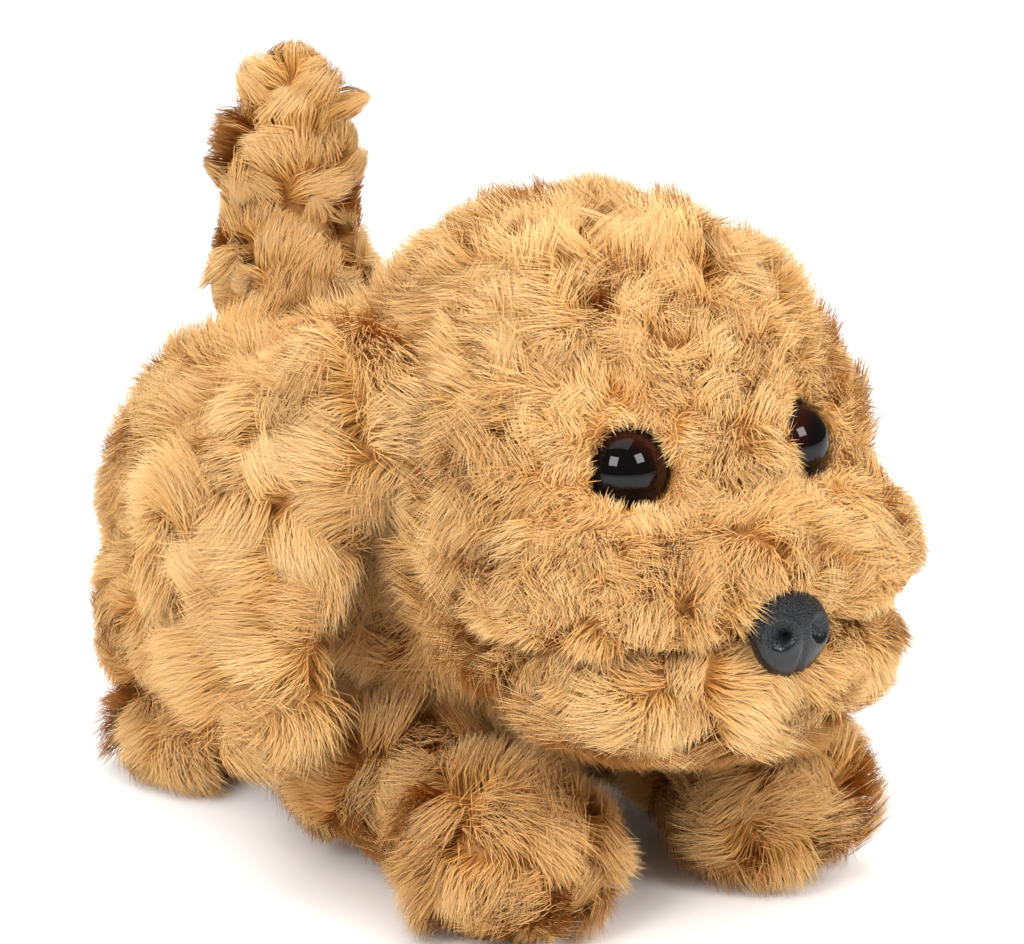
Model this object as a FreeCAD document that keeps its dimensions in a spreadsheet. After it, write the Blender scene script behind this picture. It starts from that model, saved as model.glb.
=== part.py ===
"""Interactive plush puppy: a fur-covered toy dog with a plastic chassis, gearbox, legs, tail and head.

The puppy faces -Y, its left side is +X and it stands on the plane Z = 0.  Every size is in millimetres.
"""
import FreeCAD, Part
import Sketcher
import math
import os
import re

DIMENSIONS = {
    # plush torso: one body of revolution from a chest ball to a rump ball
    "chest_y": 5, "chest_z": 47.5, "chest_radius": 38.5, "rump_y": 54.5, "rump_z": 52, "rump_radius": 40.5,
    # head: a ball that turns in a pocket of the chest
    "head_y": -40, "head_z": 81.5, "skull_radius": 41.5, "pocket_gap": 1.8,
    "muzzle_y": -66, "muzzle_z": 58.5, "muzzle_radius": 21.5, "cheek_x": 18.5,
    "shell_radius": 31, "shell_wall": 2, "neck_tilt": 36, "neck_opening": 15,
    # face
    "eye_x": 17.1, "eye_y": -66.4, "eye_z": 83.6, "eye_radius": 7.5, "eye_yaw": 38, "eye_height": 5,
    "nose_y": -90, "nose_z": 57.5, "nose_side": 7.5, "nose_long": 6, "nose_high": 7.5,
    "jaw_y": -60, "jaw_z": 54.5, "jaw_gap": 0.4, "jaw_clearance_angle": 9,
    # ears
    "ear_root_x": 48, "ear_root_y": -20, "ear_root_z": 86, "ear_flap_x": 57, "ear_flap_y": -9, "ear_flap_z": 58,
    # chassis
    "chassis_half": 18.3, "chassis_front": 4, "chassis_back": 67.5, "chassis_floor": 19,
    "chassis_split": 36, "chassis_top": 60, "wall": 1.6, "gap": 0.4, "belly_half": 16.4, "flap_top": 15.4,
    # batteries
    "cell_radius": 5.25, "cell_length": 44.5, "cell_pitch": 10.6, "cell_start": 15.8,
    # gear train
    "gear_z": 48.2, "motor_y": 14, "gear_module": 0.5, "pinion_teeth": 10, "wheel_teeth": 36,
    # front legs: a shoulder dome on the pivot, a forearm and a paw
    "shoulder_x": 25, "shoulder_y": 10, "shoulder_z": 22.5, "shoulder_radius": 19,
    "elbow_x": 31, "elbow_y": -8, "elbow_z": 18, "elbow_radius": 14.5,
    "paw_x": 26, "paw_y": -50, "paw_z": 15, "paw_radius": 16,
    # rear legs: a haunch dome on the pivot and a foot
    "hip_x": 22, "hip_y": 61, "hip_z": 28.5, "haunch_radius": 24,
    "heel_y": 64, "heel_radius": 10.5, "toe_y": 46, "toe_radius": 10, "foot_x": 34,
    "leg_pin": 1.6, "leg_frame_x": 24.5, "leg_frame_thick": 3, "running_gap": 0.05, "leg_gap": 1.2, "leg_inner": 19.8,
    # tail: a ball on the pivot and a brush above it
    "tail_y": 67, "tail_z": 84, "tail_ball": 12, "brush_low": 100, "brush_radius": 12.2,
    "brush_high": 127, "brush_tip": 10.5,
}

doc = FreeCAD.newDocument("plush_puppy")
dims = doc.addObject("Spreadsheet::Sheet", "dims")
for row, (alias, value) in enumerate(DIMENSIONS.items(), start=1):
    dims.set(f"A{row}", alias)
    dims.set(f"B{row}", str(value))
    dims.setAlias(f"B{row}", alias)
doc.recompute()

NODES = []
X_AXIS = FreeCAD.Rotation(FreeCAD.Vector(0, 0, 1), FreeCAD.Vector(1, 0, 0))
Y_AXIS = FreeCAD.Rotation(FreeCAD.Vector(0, 0, 1), FreeCAD.Vector(0, 1, 0))
Z_AXIS = FreeCAD.Rotation()


# ---------------------------------------------------------------- helpers

def formula(text):
    """Turn a formula of sheet names, such as "wall * 2", into a FreeCAD expression."""
    def linked(match):
        word = match.group(0)
        return f"dims.{word}" if word in DIMENSIONS else word
    return re.sub(r"[a-z_]+", linked, str(text))


def size(name):
    """The value of one cell of the sheet."""
    return float(dims.get(name))


def value(text):
    """A formula's number, for a shape that no expression can drive."""
    return float(dims.evalExpression(str(text)))


def bind(item, **formulas):
    for prop, text in formulas.items():
        item.setExpression(prop, formula(text))


def place(item, x, y, z, rotation=Z_AXIS):
    item.Placement = FreeCAD.Placement(FreeCAD.Vector(0, 0, 0), rotation)
    for letter, text in zip("xyz", (x, y, z)):
        item.setExpression(f"Placement.Base.{letter}", formula(text))
    return item


def node(item, label):
    """Give a finished sub-part the label that names its file."""
    item.Label = label
    NODES.append(item)
    return item


def box(name, x, y, z):
    """A box between pairs of formulas: x, y and z are (low, high)."""
    item = doc.addObject("Part::Box", name)
    bind(item, Length=f"({x[1]}) - ({x[0]})", Width=f"({y[1]}) - ({y[0]})", Height=f"({z[1]}) - ({z[0]})")
    return place(item, x[0], y[0], z[0])


def rod(name, radius, length, x, y, z, axis=Z_AXIS):
    """A cylinder that starts at a point and runs along an axis."""
    item = doc.addObject("Part::Cylinder", name)
    bind(item, Radius=radius, Height=length)
    return place(item, x, y, z, axis)


def ball(name, radius, x, y, z):
    item = doc.addObject("Part::Sphere", name)
    bind(item, Radius=radius)
    return place(item, x, y, z)


def lobe(name, radii, centre, rotation=Z_AXIS):
    """An ellipsoid with its radii along X, Y and Z before it is turned."""
    item = doc.addObject("Part::Ellipsoid", name)
    bind(item, Radius1=radii[2], Radius2=radii[0], Radius3=radii[1])
    return place(item, *centre, rotation)


def limb(name, balls, grow="0"):
    """A smooth body of revolution through a row of balls, each ((x, y, z), radius) in formulas."""
    centres = [FreeCAD.Vector(*[value(text) for text in centre]) for centre, _ in balls]
    radii = [value(radius) + value(grow) for _, radius in balls]
    axis = centres[-1] - centres[0]
    stations = [(centre - centres[0]).dot(axis) / axis.Length for centre in centres]
    slopes = [math.asin((radii[k] - radii[k + 1]) / (stations[k + 1] - stations[k])) for k in range(len(radii) - 1)]
    turns = [-math.pi / 2] + slopes + [math.pi / 2]

    def rim(k, angle):
        return FreeCAD.Vector(radii[k] * math.cos(angle), 0, stations[k] + radii[k] * math.sin(angle))

    edges = []
    for k in range(len(radii)):
        first, last = turns[k], turns[k + 1]
        if last - first > 1e-6:
            edges.append(Part.Arc(rim(k, first), rim(k, (first + last) / 2), rim(k, last)).toShape())
        if k + 1 < len(radii):
            edges.append(Part.makeLine(rim(k, last), rim(k + 1, last)))
    top, bottom = rim(len(radii) - 1, math.pi / 2), rim(0, -math.pi / 2)
    edges.append(Part.makeLine(FreeCAD.Vector(0, 0, top.z), FreeCAD.Vector(0, 0, bottom.z)))
    face = Part.Face(Part.Wire(edges))
    item = doc.addObject("Part::Feature", name)
    item.Shape = face.revolve(FreeCAD.Vector(0, 0, 0), FreeCAD.Vector(0, 0, 1), 360)
    item.Placement = FreeCAD.Placement(centres[0], FreeCAD.Rotation(FreeCAD.Vector(0, 0, 1), axis))
    return item


def fuse(name, *shapes):
    if len(shapes) == 1:
        return shapes[0]
    item = doc.addObject("Part::MultiFuse", name)
    item.Shapes = list(shapes)
    item.Refine = False
    return item


def cut(name, base, *tools):
    """Cut the tools from the base one after another, which is steadier than one cut with all of them."""
    for number, tool in enumerate(tools):
        item = doc.addObject("Part::Cut", f"{name}_{number}")
        item.Base = base
        item.Tool = tool
        item.Refine = False
        base = item
    return base


def common(name, *shapes):
    item = doc.addObject("Part::MultiCommon", name)
    item.Shapes = list(shapes)
    return item


def group(label, pieces):
    """Separate identical solids that share one node."""
    item = doc.addObject("Part::Compound", label)
    item.Links = pieces
    return node(item, label)


def sketch_on(body, role, name):
    sketch = body.newObject("Sketcher::SketchObject", name)
    plane = [item for item in body.Origin.OriginFeatures if item.Role == role][0]
    sketch.AttachmentSupport = [(plane, "")]
    sketch.MapMode = "FlatFace"
    return sketch


def outline(sketch, points):
    """A closed outline of straight lines; a point's two values are formulas, bound as constraints."""
    count = len(points)
    doc.recompute()
    rough = [(2.0 + math.cos(2 * math.pi * k / count),
              math.sin(2 * math.pi * k / count)) for k in range(count)]
    for k in range(count):
        start = FreeCAD.Vector(*rough[k], 0)
        end = FreeCAD.Vector(*rough[(k + 1) % count], 0)
        sketch.addGeometry(Part.LineSegment(start, end))
    for k in range(count):
        sketch.addConstraint(Sketcher.Constraint("Coincident", k, 2, (k + 1) % count, 1))
    for k, point in enumerate(points):
        for kind, text in zip(("DistanceX", "DistanceY"), point):
            index = sketch.addConstraint(Sketcher.Constraint(kind, -1, 1, k, 1, 1.0))
            sketch.setExpression(f"Constraints[{index}]", formula(text))


def turned(label, points, centre, rotation):
    """A body of revolution about its own Z axis from (radius, height) formulas."""
    body = doc.addObject("PartDesign::Body", label)
    sketch = sketch_on(body, "XZ_Plane", f"{label}_profile")
    outline(sketch, points)
    spin = body.newObject("PartDesign::Revolution", f"{label}_turn")
    spin.Profile = sketch
    spin.ReferenceAxis = (sketch, ["V_Axis"])
    spin.Angle = 360
    place(body, *centre, rotation)
    return body


def padded(label, points, thickness, centre, rotation=Z_AXIS):
    """A flat plate of one outline in its own XY plane, padded along its own Z."""
    body = doc.addObject("PartDesign::Body", label)
    sketch = sketch_on(body, "XY_Plane", f"{label}_profile")
    outline(sketch, points)
    pad = body.newObject("PartDesign::Pad", f"{label}_pad")
    pad.Profile = sketch
    bind(pad, Length=thickness)
    place(body, *centre, rotation)
    return body


def mirrored(side):
    """Which side of the puppy a paired sub-part is on: +1 is its left."""
    return "left" if side > 0 else "right"


# ---------------------------------------------------------------- legs

def leg_bar(name, side, start, end, half_width, thickness, inner_x):
    """A flat bar with round ends, from the leg's pivot to its foot, lying in a plane across X."""
    run_y = value(end[0]) - value(start[0])
    run_z = value(end[1]) - value(start[1])
    length = math.hypot(run_y, run_z)
    tilt = FreeCAD.Rotation(FreeCAD.Vector(1, 0, 0), math.degrees(math.atan2(run_z, run_y)))
    low_x = f"{inner_x}" if side > 0 else f"-({inner_x}) - ({thickness})"
    beam = doc.addObject("Part::Box", f"{name}_beam")
    bind(beam, Length=thickness, Width=str(length), Height=f"2 * ({half_width})")
    drop = tilt.multVec(FreeCAD.Vector(0, 0, -1))
    place(beam, low_x, f"{start[0]} + ({drop.y}) * ({half_width})",
          f"{start[1]} + ({drop.z}) * ({half_width})", tilt)
    hub = rod(f"{name}_hub", half_width, thickness, low_x, start[0], start[1], X_AXIS)
    toe = rod(f"{name}_toe", half_width, thickness, low_x, end[0], end[1], X_AXIS)
    return fuse(f"{name}_bar", beam, hub, toe)


def dome(name, side, radius, centre, grow="0", inner="leg_inner"):
    """The part of a ball that lies outside a plane across X: it turns about X without leaving its space."""
    x, y, z = centre
    whole = ball(f"{name}_ball", f"{radius} + {grow}", f"{side} * {x}", y, z)
    near, far = (f"{inner} - {grow}", "100") if side > 0 else ("-100", f"{grow} - {inner}")
    return common(name, whole, box(f"{name}_side", (near, far), ("-100", "100"), ("-20", "100")))


def front_shapes(name, side, grow="0", drop="0"):
    """Shoulder dome and forearm with its paw; grown and dropped copies make the room they swing in."""
    centre = ("shoulder_x", "shoulder_y", "shoulder_z")
    elbow = ((f"{side} * elbow_x", "elbow_y", f"elbow_z - {drop} / 4"), "elbow_radius")
    paw = ((f"{side} * paw_x", "paw_y", f"paw_z - {drop}"), "paw_radius")
    return [dome(f"{name}_shoulder", side, "shoulder_radius", centre, grow),
            limb(f"{name}_forearm", [elbow, paw], grow)]


def rear_shapes(name, side, grow="0", drop="0"):
    """Haunch dome and foot."""
    centre = ("hip_x", "hip_y", "hip_z")
    heel = ((f"{side} * foot_x", f"heel_y - {drop}", "heel_radius - 1"), "heel_radius")
    toe = ((f"{side} * foot_x", f"toe_y - {drop}", "toe_radius - 1"), "toe_radius")
    return [dome(f"{name}_haunch", side, "haunch_radius", centre, grow),
            limb(f"{name}_foot", [heel, toe], grow)]


def leg(which, side, shapes, pivot, foot):
    """One leg: a plastic bar on a pin, inside a stuffed plush leg with a flat sole."""
    label = f"{which}_leg_{mirrored(side)}"
    bar = leg_bar(f"{label}_bar", side, pivot, foot, "4", "leg_frame_thick", "leg_frame_x")
    low_x = "leg_frame_x - 1" if side > 0 else "-leg_frame_x - leg_frame_thick - 1"
    bore = rod(f"{label}_bore", "leg_pin + running_gap", "leg_frame_thick + 2", low_x, *pivot, X_AXIS)
    node(cut(f"{label}_frame", bar, bore), f"{which}_leg_frame_{mirrored(side)}")

    outer = fuse(f"{label}_outer", *shapes(label, side))
    pocket = leg_bar(f"{label}_pocket", side, pivot, foot, "4 + gap", "leg_frame_thick + 2 * gap",
                     "leg_frame_x - gap")
    low_x = "chassis_half" if side > 0 else "-leg_frame_x - leg_frame_thick - 2.6"
    room_length = "leg_frame_x + leg_frame_thick + 2.6 - chassis_half"
    head_room = rod(f"{label}_room", "3.8", room_length, low_x, *pivot, X_AXIS)
    floor = box(f"{label}_floor", ("-80", "80"), ("-120", "120"), ("-20", "0"))
    node(cut(f"{label}_plush", outer, floor, head_room, pocket), f"{which}_leg_plush_{mirrored(side)}")


def leg_pins(which, pivot):
    """The two shoulder screws that a pair of legs swings on."""
    pins = []
    for side in (1, -1):
        name = f"{which}_pin_{mirrored(side)}"
        shaft_length = "leg_frame_x + leg_frame_thick + 0.4 - chassis_half + wall - 0.2"
        shaft_low = "chassis_half - wall + 0.2" if side > 0 else "-leg_frame_x - leg_frame_thick - 0.4"
        head_low = "leg_frame_x + leg_frame_thick + 0.3" if side > 0 else "-leg_frame_x - leg_frame_thick - 1.9"
        shaft = rod(f"{name}_shaft", "leg_pin", shaft_length, shaft_low, *pivot, X_AXIS)
        head = rod(f"{name}_head", "3", "1.6", head_low, *pivot, X_AXIS)
        pins.append(fuse(name, shaft, head))
    group(f"{which}_leg_pins", pins)


SHOULDER_AXIS = ("shoulder_y", "shoulder_z")
PAW_END = ("paw_y", "paw_z")
HIP_AXIS = ("hip_y", "hip_z")
FOOT_END = ("heel_y - 6", "heel_radius - 0.5")
for side in (1, -1):
    leg("front", side, front_shapes, SHOULDER_AXIS, PAW_END)
    leg("rear", side, rear_shapes, HIP_AXIS, FOOT_END)
leg_pins("front", SHOULDER_AXIS)
leg_pins("rear", HIP_AXIS)


# ---------------------------------------------------------------- plush torso

def torso_outside(name):
    """The outer skin of the torso, from the chest to the rump."""
    chest = (("0", "chest_y", "chest_z"), "chest_radius")
    rump = (("0", "rump_y", "rump_z"), "rump_radius")
    return limb(name, [chest, rump])


def opening(name, y_low, y_high, z_low, z_high, half):
    return box(name, (f"-({half})", half), (y_low, y_high), (z_low, z_high))


def torso_rooms():
    """Everything that is cut out of the torso: the chassis, the moving legs, head and tail, the belly."""
    rooms = [
        opening("chassis_room", "chassis_front - gap", "chassis_back + gap", "chassis_floor - gap",
                "chassis_top + gap", "chassis_half + gap"),
        opening("belly_room", "10.6", "61.4", "0", "chassis_floor", "belly_half"),
        opening("neck_room", "-3", "chassis_front", "40", "60.4", "9.4"),
        opening("bracket_room", "57", "72", "chassis_top", "80", "6.6"),
        ball("head_room", "skull_radius + pocket_gap", "0", "head_y", "head_z"),
        ball("tail_room", "tail_ball + 1", "0", "tail_y", "tail_z"),
        rod("button_room", "6.6", "4.4", "0", "motor_y", "chassis_top"),
    ]
    flare = doc.addObject("Part::Cone", "tail_flare")
    bind(flare, Radius1="tail_ball", Radius2="tail_ball + 10", Height="16")
    rooms.append(place(flare, "0", "tail_y", "tail_z + 1"))
    for side in (1, -1):
        for step, drop in (("low", "2.5"), ("high", "-2.5")):
            name = f"room_{step}_{mirrored(side)}"
            rooms += front_shapes(name, side, "leg_gap", drop)
            rooms += rear_shapes(name, side, "leg_gap", drop)
        for which, pivot in (("front", SHOULDER_AXIS), ("rear", HIP_AXIS)):
            low_x = "chassis_half" if side > 0 else "-chassis_half - 6"
            rooms.append(rod(f"{which}_pin_room_{mirrored(side)}", "3.8", "6", low_x, *pivot, X_AXIS))
    arm = rod("neck_arm_room", "5.2", "60", *neck_start(), NECK_TURN)
    rooms.append(arm)
    return rooms


def neck_start():
    return ("0", "chassis_front", "52")


NECK_RISE = size("head_z") - 10.5 - 52
NECK_REACH = size("chassis_front") - size("head_y")
NECK_TURN = FreeCAD.Rotation(FreeCAD.Vector(0, 0, 1), FreeCAD.Vector(0, -NECK_REACH, NECK_RISE))
NECK_LENGTH = math.hypot(NECK_RISE, NECK_REACH)

node(cut("torso_plush", torso_outside("torso_outer"), *torso_rooms()), "torso_plush")

flap = common("flap_solid", torso_outside("flap_outer"), opening("flap_block", "11", "61", "5", "flap_top",
                                                                 "belly_half - gap"))
node(flap, "belly_flap")
node(opening("flap_tape", "12", "15.2", "flap_top + 0.05", "flap_top + 0.9", "11"), "belly_flap_tape")


# ---------------------------------------------------------------- chassis

def column(name, side, y, radius, z_low, z_high):
    return rod(name, radius, f"({z_high}) - ({z_low})", f"{side} * 13.9", y, z_low)


SCREW_ROWS = {"front": "chassis_front + 4.4", "back": "chassis_back - 3.9"}


def chassis_lower():
    shell = opening("tub", "chassis_front", "chassis_back", "chassis_floor", "chassis_split", "chassis_half")
    hollow = opening("tub_hollow", "chassis_front + wall", "chassis_back - wall", "chassis_floor + wall",
                     "chassis_split + 1", "chassis_half - wall")
    rims = doc.addObject("Part::Fillet", "tub_round")
    rims.Base = shell
    doc.recompute()
    rims.Edges = upright_edges(shell.Shape, 2.0)
    open_tub = cut("open_tub", rims, hollow)
    posts, holes = [], []
    for end, y in SCREW_ROWS.items():
        for side in (1, -1):
            tag = f"{end}_{mirrored(side)}"
            posts.append(column(f"tub_post_{tag}", side, y, "2.5", "chassis_floor + 1", "chassis_split"))
            holes.append(column(f"tub_hole_{tag}", side, y, "1.25", "chassis_floor - 1", "chassis_split + 1"))
            holes.append(column(f"tub_sink_{tag}", side, y, "2.1", "chassis_floor - 1",
                                "chassis_floor + 2.2"))
    holes.append(opening("door_hole", "cell_start - 0.4", "cell_start + 45.2", "chassis_floor - 1",
                         "chassis_floor + 3", "16"))
    holes.append(opening("switch_hole", "12", "14.2", "chassis_floor - 1", "chassis_floor + 3", "4.4"))
    for which, pivot in (("front", SHOULDER_AXIS), ("rear", HIP_AXIS)):
        holes.append(rod(f"tub_{which}_pin_hole", "leg_pin + running_gap", "60", "-30", *pivot, X_AXIS))
    for row_number in range(-1, 2):
        for column_number in range(-1, 2):
            name = f"grille_{row_number + 1}_{column_number + 1}"
            holes.append(rod(name, "1", "4", f"{column_number} * 3.6", "chassis_front - 1",
                             f"29 + {row_number} * 3.6", Y_AXIS))
    node(cut("lower_shell", fuse("tub_with_posts", open_tub, *posts), *holes), "chassis_lower")


def upright_edges(shape, radius):
    """The numbers of a shape's vertical edges, as a fillet wants them."""
    chosen = []
    for number, edge in enumerate(shape.Edges, start=1):
        direction = edge.tangentAt(edge.FirstParameter)
        if abs(direction.z) > 0.99:
            chosen.append((number, radius, radius))
    return chosen


def chassis_upper():
    shell = opening("lid", "chassis_front", "chassis_back", "chassis_split + 0.2", "chassis_top",
                    "chassis_half")
    hollow = opening("lid_hollow", "chassis_front + wall", "chassis_back - wall", "chassis_split - 1",
                     "chassis_top - wall", "chassis_half - wall")
    rims = doc.addObject("Part::Fillet", "lid_round")
    rims.Base = shell
    doc.recompute()
    rims.Edges = upright_edges(shell.Shape, 2.0)
    open_lid = cut("open_lid", rims, hollow)
    posts, holes = [], []
    for end, y in SCREW_ROWS.items():
        for side in (1, -1):
            tag = f"{end}_{mirrored(side)}"
            posts.append(column(f"lid_post_{tag}", side, y, "3", "chassis_split + 0.2",
                                "chassis_split + 5.6"))
            holes.append(column(f"lid_hole_{tag}", side, y, "1.15", "chassis_split - 1", "chassis_split + 5"))
    holes.append(rod("lid_button_hole", "5.15", "6", "0", "motor_y", "chassis_top - 3"))
    node(cut("upper_shell", fuse("lid_with_posts", open_lid, *posts), *holes), "chassis_upper")


def chassis_screws():
    screws = []
    for end, y in SCREW_ROWS.items():
        for side in (1, -1):
            tag = f"{end}_{mirrored(side)}"
            shank = column(f"screw_shank_{tag}", side, y, "1.1", "chassis_floor + 0.8", "chassis_split + 4.6")
            head = column(f"screw_head_{tag}", side, y, "1.9", "chassis_floor + 0.6", "chassis_floor + 2.1")
            screws.append(fuse(f"screw_{tag}", shank, head))
    group("chassis_screws", screws)


def batteries():
    cells = []
    for number in range(3):
        x = f"({number} - 1) * cell_pitch"
        z = "chassis_floor + wall + 0.3 + cell_radius"
        turn_round = number % 2
        nub_y = "cell_start" if turn_round else "cell_start + cell_length - 1"
        can_y = "cell_start + 1" if turn_round else "cell_start"
        can = rod(f"cell_can_{number}", "cell_radius", "cell_length - 1", x, can_y, z, Y_AXIS)
        nub = rod(f"cell_nub_{number}", "1.9", "1", x, nub_y, z, Y_AXIS)
        cells.append(fuse(f"cell_{number}", can, nub))
    group("batteries", cells)
    strips = []
    for name, y in (("front", "cell_start - 0.6"), ("back", "cell_start + cell_length + 0.2")):
        strips.append(box(f"contact_{name}", ("-15.2", "15.2"), (y, f"{y} + 0.4"), ("21", "31")))
    group("battery_contacts", strips)


def battery_door():
    """The door fills the hole in the chassis floor; a finger grip is sunk in its back edge."""
    half = "15.8"
    points = [(f"-{half}", "0"), (half, "0"), (half, "45"), ("4", "45"), ("4", "42.5"), ("-4", "42.5"),
              ("-4", "45"), (f"-{half}", "45")]
    node(padded("door_plate", points, "1.5", ("0", "cell_start - 0.1", "chassis_floor")), "battery_door")


def circuit_board():
    points = [("-15.6", "0"), ("15.6", "0"), ("15.6", "42"), ("6", "42"), ("6", "46"), ("-15.6", "46")]
    node(padded("board_plate", points, "1.2", ("0", "14.5", "32.8")), "circuit_board")
    chips = []
    for number, (x, y, width, depth) in enumerate(((-9, 20, 8, 8), (3, 22, 6, 9), (-4, 40, 10, 5))):
        chips.append(box(f"chip_{number}", (str(x), str(x + width)), (str(y), str(y + depth)), ("34.1",
                                                                                                "35.6")))
    group("circuit_chips", chips)


def speaker():
    """A small round speaker behind the grille in the chassis front."""
    rim, magnet = "9.4", "5"
    points = [("0", "1.2"), ("5.5", "0"), (rim, "0"), (rim, "1.4"), (magnet, "2.2"), (magnet, "4.6"), ("0",
                                                                                                       "4.6")]
    node(turned("speaker_unit", points, ("0", "chassis_front + wall + 0.2", "30.4"), Y_AXIS), "speaker")


def power_switch():
    knob = box("switch_knob", ("-2", "2"), ("12.3", "13.9"), ("chassis_floor - 1.2",
                                                              "chassis_floor + wall + 0.2"))
    slider = box("switch_slider", ("-6.6", "6.6"), ("11.4", "14.8"),
                 ("chassis_floor + wall + 0.1", "chassis_floor + wall + 1.3"))
    node(fuse("switch_body", knob, slider), "power_switch")


def back_button():
    stem = rod("button_stem", "5", "5.4", "0", "motor_y", "chassis_top - 2.6")
    flange = rod("button_flange", "6.4", "1", "0", "motor_y", "chassis_top - wall - 1.1")
    node(fuse("button_body", stem, flange), "back_button")


chassis_lower()
chassis_upper()
chassis_screws()
batteries()
battery_door()
circuit_board()
speaker()
power_switch()
back_button()


# ---------------------------------------------------------------- gearbox

GEAR_Y = {"pinion": "motor_y"}
MESH_DISTANCE = "gear_module * (pinion_teeth + wheel_teeth) / 2"
GEAR_Y["first"] = f"motor_y + {MESH_DISTANCE}"
GEAR_Y["second"] = f"motor_y + 2 * {MESH_DISTANCE}"
GEAR_Y["crank"] = f"motor_y + 3 * {MESH_DISTANCE}"


def mesh_y(steps):
    """Where an axle lies, a number of gear meshes behind the motor."""
    distance = size("gear_module") * (size("pinion_teeth") + size("wheel_teeth")) / 2
    return size("motor_y") + steps * distance


def toothed(teeth, first_tooth, bore, low_x, high_x, steps):
    """A spur gear solid across X.  Its first tooth points at an angle from +Y towards +Z."""
    module = size("gear_module")
    pitch_radius = module * teeth / 2
    tip_radius = pitch_radius + 0.8 * module
    root_radius = pitch_radius - 1.05 * module
    half_pitch = math.pi / teeth
    profile = ((root_radius, 0.62), (pitch_radius, 0.44), (tip_radius, 0.2))
    points = []
    for number in range(teeth):
        middle = first_tooth + 2 * half_pitch * number
        flank = [(radius, middle - share * half_pitch) for radius, share in profile]
        flank += [(radius, middle + share * half_pitch) for radius, share in reversed(profile)]
        points += [FreeCAD.Vector(low_x, r * math.cos(a), r * math.sin(a)) for r, a in flank]
    face = Part.Face(Part.makePolygon(points + points[:1]))
    solid = face.extrude(FreeCAD.Vector(high_x - low_x, 0, 0))
    if bore:
        hole = Part.makeCylinder(bore, high_x - low_x + 2, FreeCAD.Vector(low_x - 1, 0, 0), FreeCAD.Vector(1,
                                                                                                           0, 0))
        solid = solid.cut(hole)
    solid.translate(FreeCAD.Vector(0, mesh_y(steps), size("gear_z")))
    return solid


def gear_feature(label, *solids):
    shape = solids[0]
    for other in solids[1:]:
        shape = shape.fuse(other)
    item = doc.addObject("Part::Feature", label)
    item.Shape = shape
    return node(item, label)


def gear_train():
    """Pinion, two compound wheels and the crank wheel, all turning about axes along X."""
    small, large = int(size("pinion_teeth")), int(size("wheel_teeth"))
    gap_back = math.pi + math.pi / large
    shaft, pin, axle = 0.75, 0.8, 1.5
    gear_feature("motor_pinion", toothed(small, 0, shaft, 6.5, 10.8, 0))
    gear_feature("compound_gear_1", toothed(large, gap_back, pin, 7.1, 9.6, 1), toothed(small, 0, pin, 3.2,
                                                                                        7.1, 1))
    gear_feature("compound_gear_2", toothed(large, gap_back, pin, 3.9, 6.4, 2), toothed(small, 0, pin, -1.2,
                                                                                        3.9, 2))
    gear_feature("crank_gear", toothed(large, gap_back, axle, -0.6, 2.6, 3))


def drive_rods():
    node(rod("rotor", "0.75", "15.6", "-3.6", GEAR_Y["pinion"], "gear_z", X_AXIS), "motor_shaft")
    node(rod("crank_rod", "1.5", "29.8", "-14.9", GEAR_Y["crank"], "gear_z", X_AXIS), "crank_axle")
    discs = []
    for side in (1, -1):
        name = f"crank_{mirrored(side)}"
        low_x = "12.9" if side > 0 else "-14.9"
        disc = rod(f"{name}_disc", "5.2", "2", low_x, GEAR_Y["crank"], "gear_z", X_AXIS)
        stub_x = "14.9" if side > 0 else "-16.1"
        stub = rod(f"{name}_stub", "0.9", "1.2", stub_x, GEAR_Y["crank"], f"gear_z + {side} * 3.6", X_AXIS)
        seat = rod(f"{name}_seat", "1.5", "4", "12" if side > 0 else "-16", GEAR_Y["crank"], "gear_z", X_AXIS)
        discs.append(cut(name, fuse(f"{name}_whole", disc, stub), seat))
    group("crank_discs", discs)
    pins = []
    for which in ("first", "second"):
        pins.append(rod(f"{which}_pin", "0.75", "16.4", "-3.7", GEAR_Y[which], "gear_z", X_AXIS))
    group("gear_pins", pins)


def motor():
    """A small can motor with flat sides, lying across the chassis."""
    can = rod("motor_can", "7.6", "20", "-15.6", "motor_y", "gear_z", X_AXIS)
    flats = box("motor_flats", ("-16", "6"), ("motor_y - 8", "motor_y + 8"), ("gear_z - 6", "gear_z + 6"))
    boss = rod("motor_boss", "2", "0.9", "4.4", "motor_y", "gear_z", X_AXIS)
    bore = rod("motor_bore", "0.82", "10", "-3.8", "motor_y", "gear_z", X_AXIS)
    node(cut("motor_body", fuse("motor_closed", common("motor_flat_can", can, flats), boss), bore), "motor")
    block = box("cradle_block", ("wall - chassis_half", "3"), ("11.6", "21.6"), ("37", "gear_z - 3"))
    seat_can = rod("cradle_can", "7.7", "30", "-20", "motor_y", "gear_z", X_AXIS)
    seat_flats = box("cradle_flats", ("-20", "9"), ("motor_y - 8", "motor_y + 8"), ("gear_z - 6.1",
                                                                                    "gear_z + 6"))
    node(cut("cradle_body", block, common("cradle_seat", seat_can, seat_flats)), "motor_cradle")


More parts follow.
